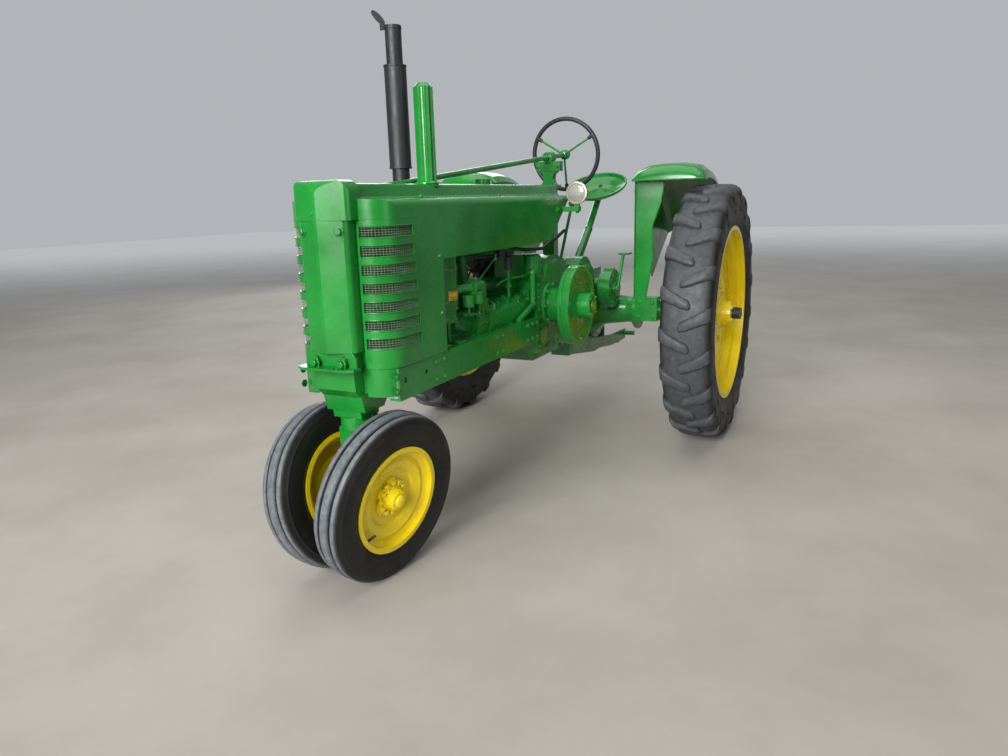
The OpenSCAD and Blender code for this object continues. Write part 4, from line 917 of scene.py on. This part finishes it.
def surroundings(tree, direction):
    """Colour of the surroundings in a direction, lighter behind the machine."""
    dot = tree.nodes.new("ShaderNodeVectorMath")
    dot.operation = "DOT_PRODUCT"
    dot.inputs[1].default_value = LIGHTER_WAY
    tree.links.new(direction, dot.inputs[0])
    return ramp(tree, dot.outputs["Value"], [(0.35, DARK_SIDE), (0.80, LIGHT_SIDE)])


def fade_away(tree, shader):
    """Lets the floor pass into the surroundings as it gets further away, for what is seen
    directly or in a reflection; it lights nothing."""
    place_of = tree.nodes.new("ShaderNodeTexCoord").outputs["Object"]
    way, reach = (tree.nodes.new("ShaderNodeVectorMath") for _ in range(2))
    way.operation, reach.operation = "NORMALIZE", "LENGTH"
    for node in (way, reach):
        tree.links.new(place_of, node.inputs[0])
    fade = tree.nodes.new("ShaderNodeMapRange")
    fade.interpolation_type = "SMOOTHSTEP"
    fade.inputs["From Min"].default_value = FADE_NEAR
    fade.inputs["From Max"].default_value = FADE_FAR
    fade.inputs["To Max"].default_value = FADE_MOST
    tree.links.new(reach.outputs["Value"], fade.inputs["Value"])
    path = tree.nodes.new("ShaderNodeLightPath")
    seen, strength = (tree.nodes.new("ShaderNodeMath") for _ in range(2))
    seen.operation, strength.operation = "MAXIMUM", "MULTIPLY"
    tree.links.new(path.outputs["Is Camera Ray"], seen.inputs[0])
    tree.links.new(path.outputs["Is Glossy Ray"], seen.inputs[1])
    tree.links.new(seen.outputs["Value"], strength.inputs[0])
    tree.links.new(fade.outputs["Result"], strength.inputs[1])
    tree.links.new(surroundings(tree, way.outputs["Vector"]), shader.inputs["Emission Color"])
    tree.links.new(strength.outputs["Value"], shader.inputs["Emission Strength"])


def make_floor():
    """Smooth, slightly mottled concrete floor."""
    bpy.ops.mesh.primitive_plane_add(size=FLOOR_SIZE, location=(0, 0, 0))
    floor = bpy.context.object
    floor.name = "floor"
    material, tree, shader = new_material("floor")
    material.cycles.emission_sampling = "NONE"
    fade_away(tree, shader)
    tree.links.new(ramp(tree, noise(tree, 0.9, 8, 0.6), [
        (0.35, (0.34, 0.315, 0.275)), (0.65, (0.41, 0.385, 0.345))]), shader.inputs["Base Color"])
    shader.inputs["Roughness"].default_value = 0.8
    floor.data.materials.append(material)


def make_light():
    """Soft lamps, the strongest in front; the surroundings are lighter behind. Spread is
    in degrees."""
    world = bpy.data.worlds.new("world")
    bpy.context.scene.world = world
    world.use_nodes = True
    tree = world.node_tree
    coords = tree.nodes.new("ShaderNodeTexCoord")
    tree.links.new(surroundings(tree, coords.outputs["Generated"]),
                   tree.nodes["Background"].inputs["Color"])
    for name, spot, aim, size, power, spread in (
            ("key", (10.5, 0.5, 4.6), (0.4, 0, 0.8), 5.5, 480, 90),
            ("top", (-0.5, 0.0, 8.5), (-0.5, 0, 0.8), 9.0, 420, 180),
            ("left", (2.0, 6.5, 2.6), (0.2, 0, 0.8), 3.0, 35, 180),
            ("back", (-7.5, -5.5, 4.5), (0.0, 0, 0.8), 5.0, 230, 180)):
        data = bpy.data.lights.new(name, "AREA")
        data.size = size
        data.energy = power
        data.spread = math.radians(spread)
        lamp = bpy.data.objects.new(name, data)
        lamp.location = spot
        lamp.rotation_euler = (Vector(aim) - Vector(spot)).to_track_quat("-Z", "Y").to_euler()
        bpy.context.scene.collection.objects.link(lamp)


make_floor()
make_light()
bpy.context.scene.view_settings.view_transform = "Standard"
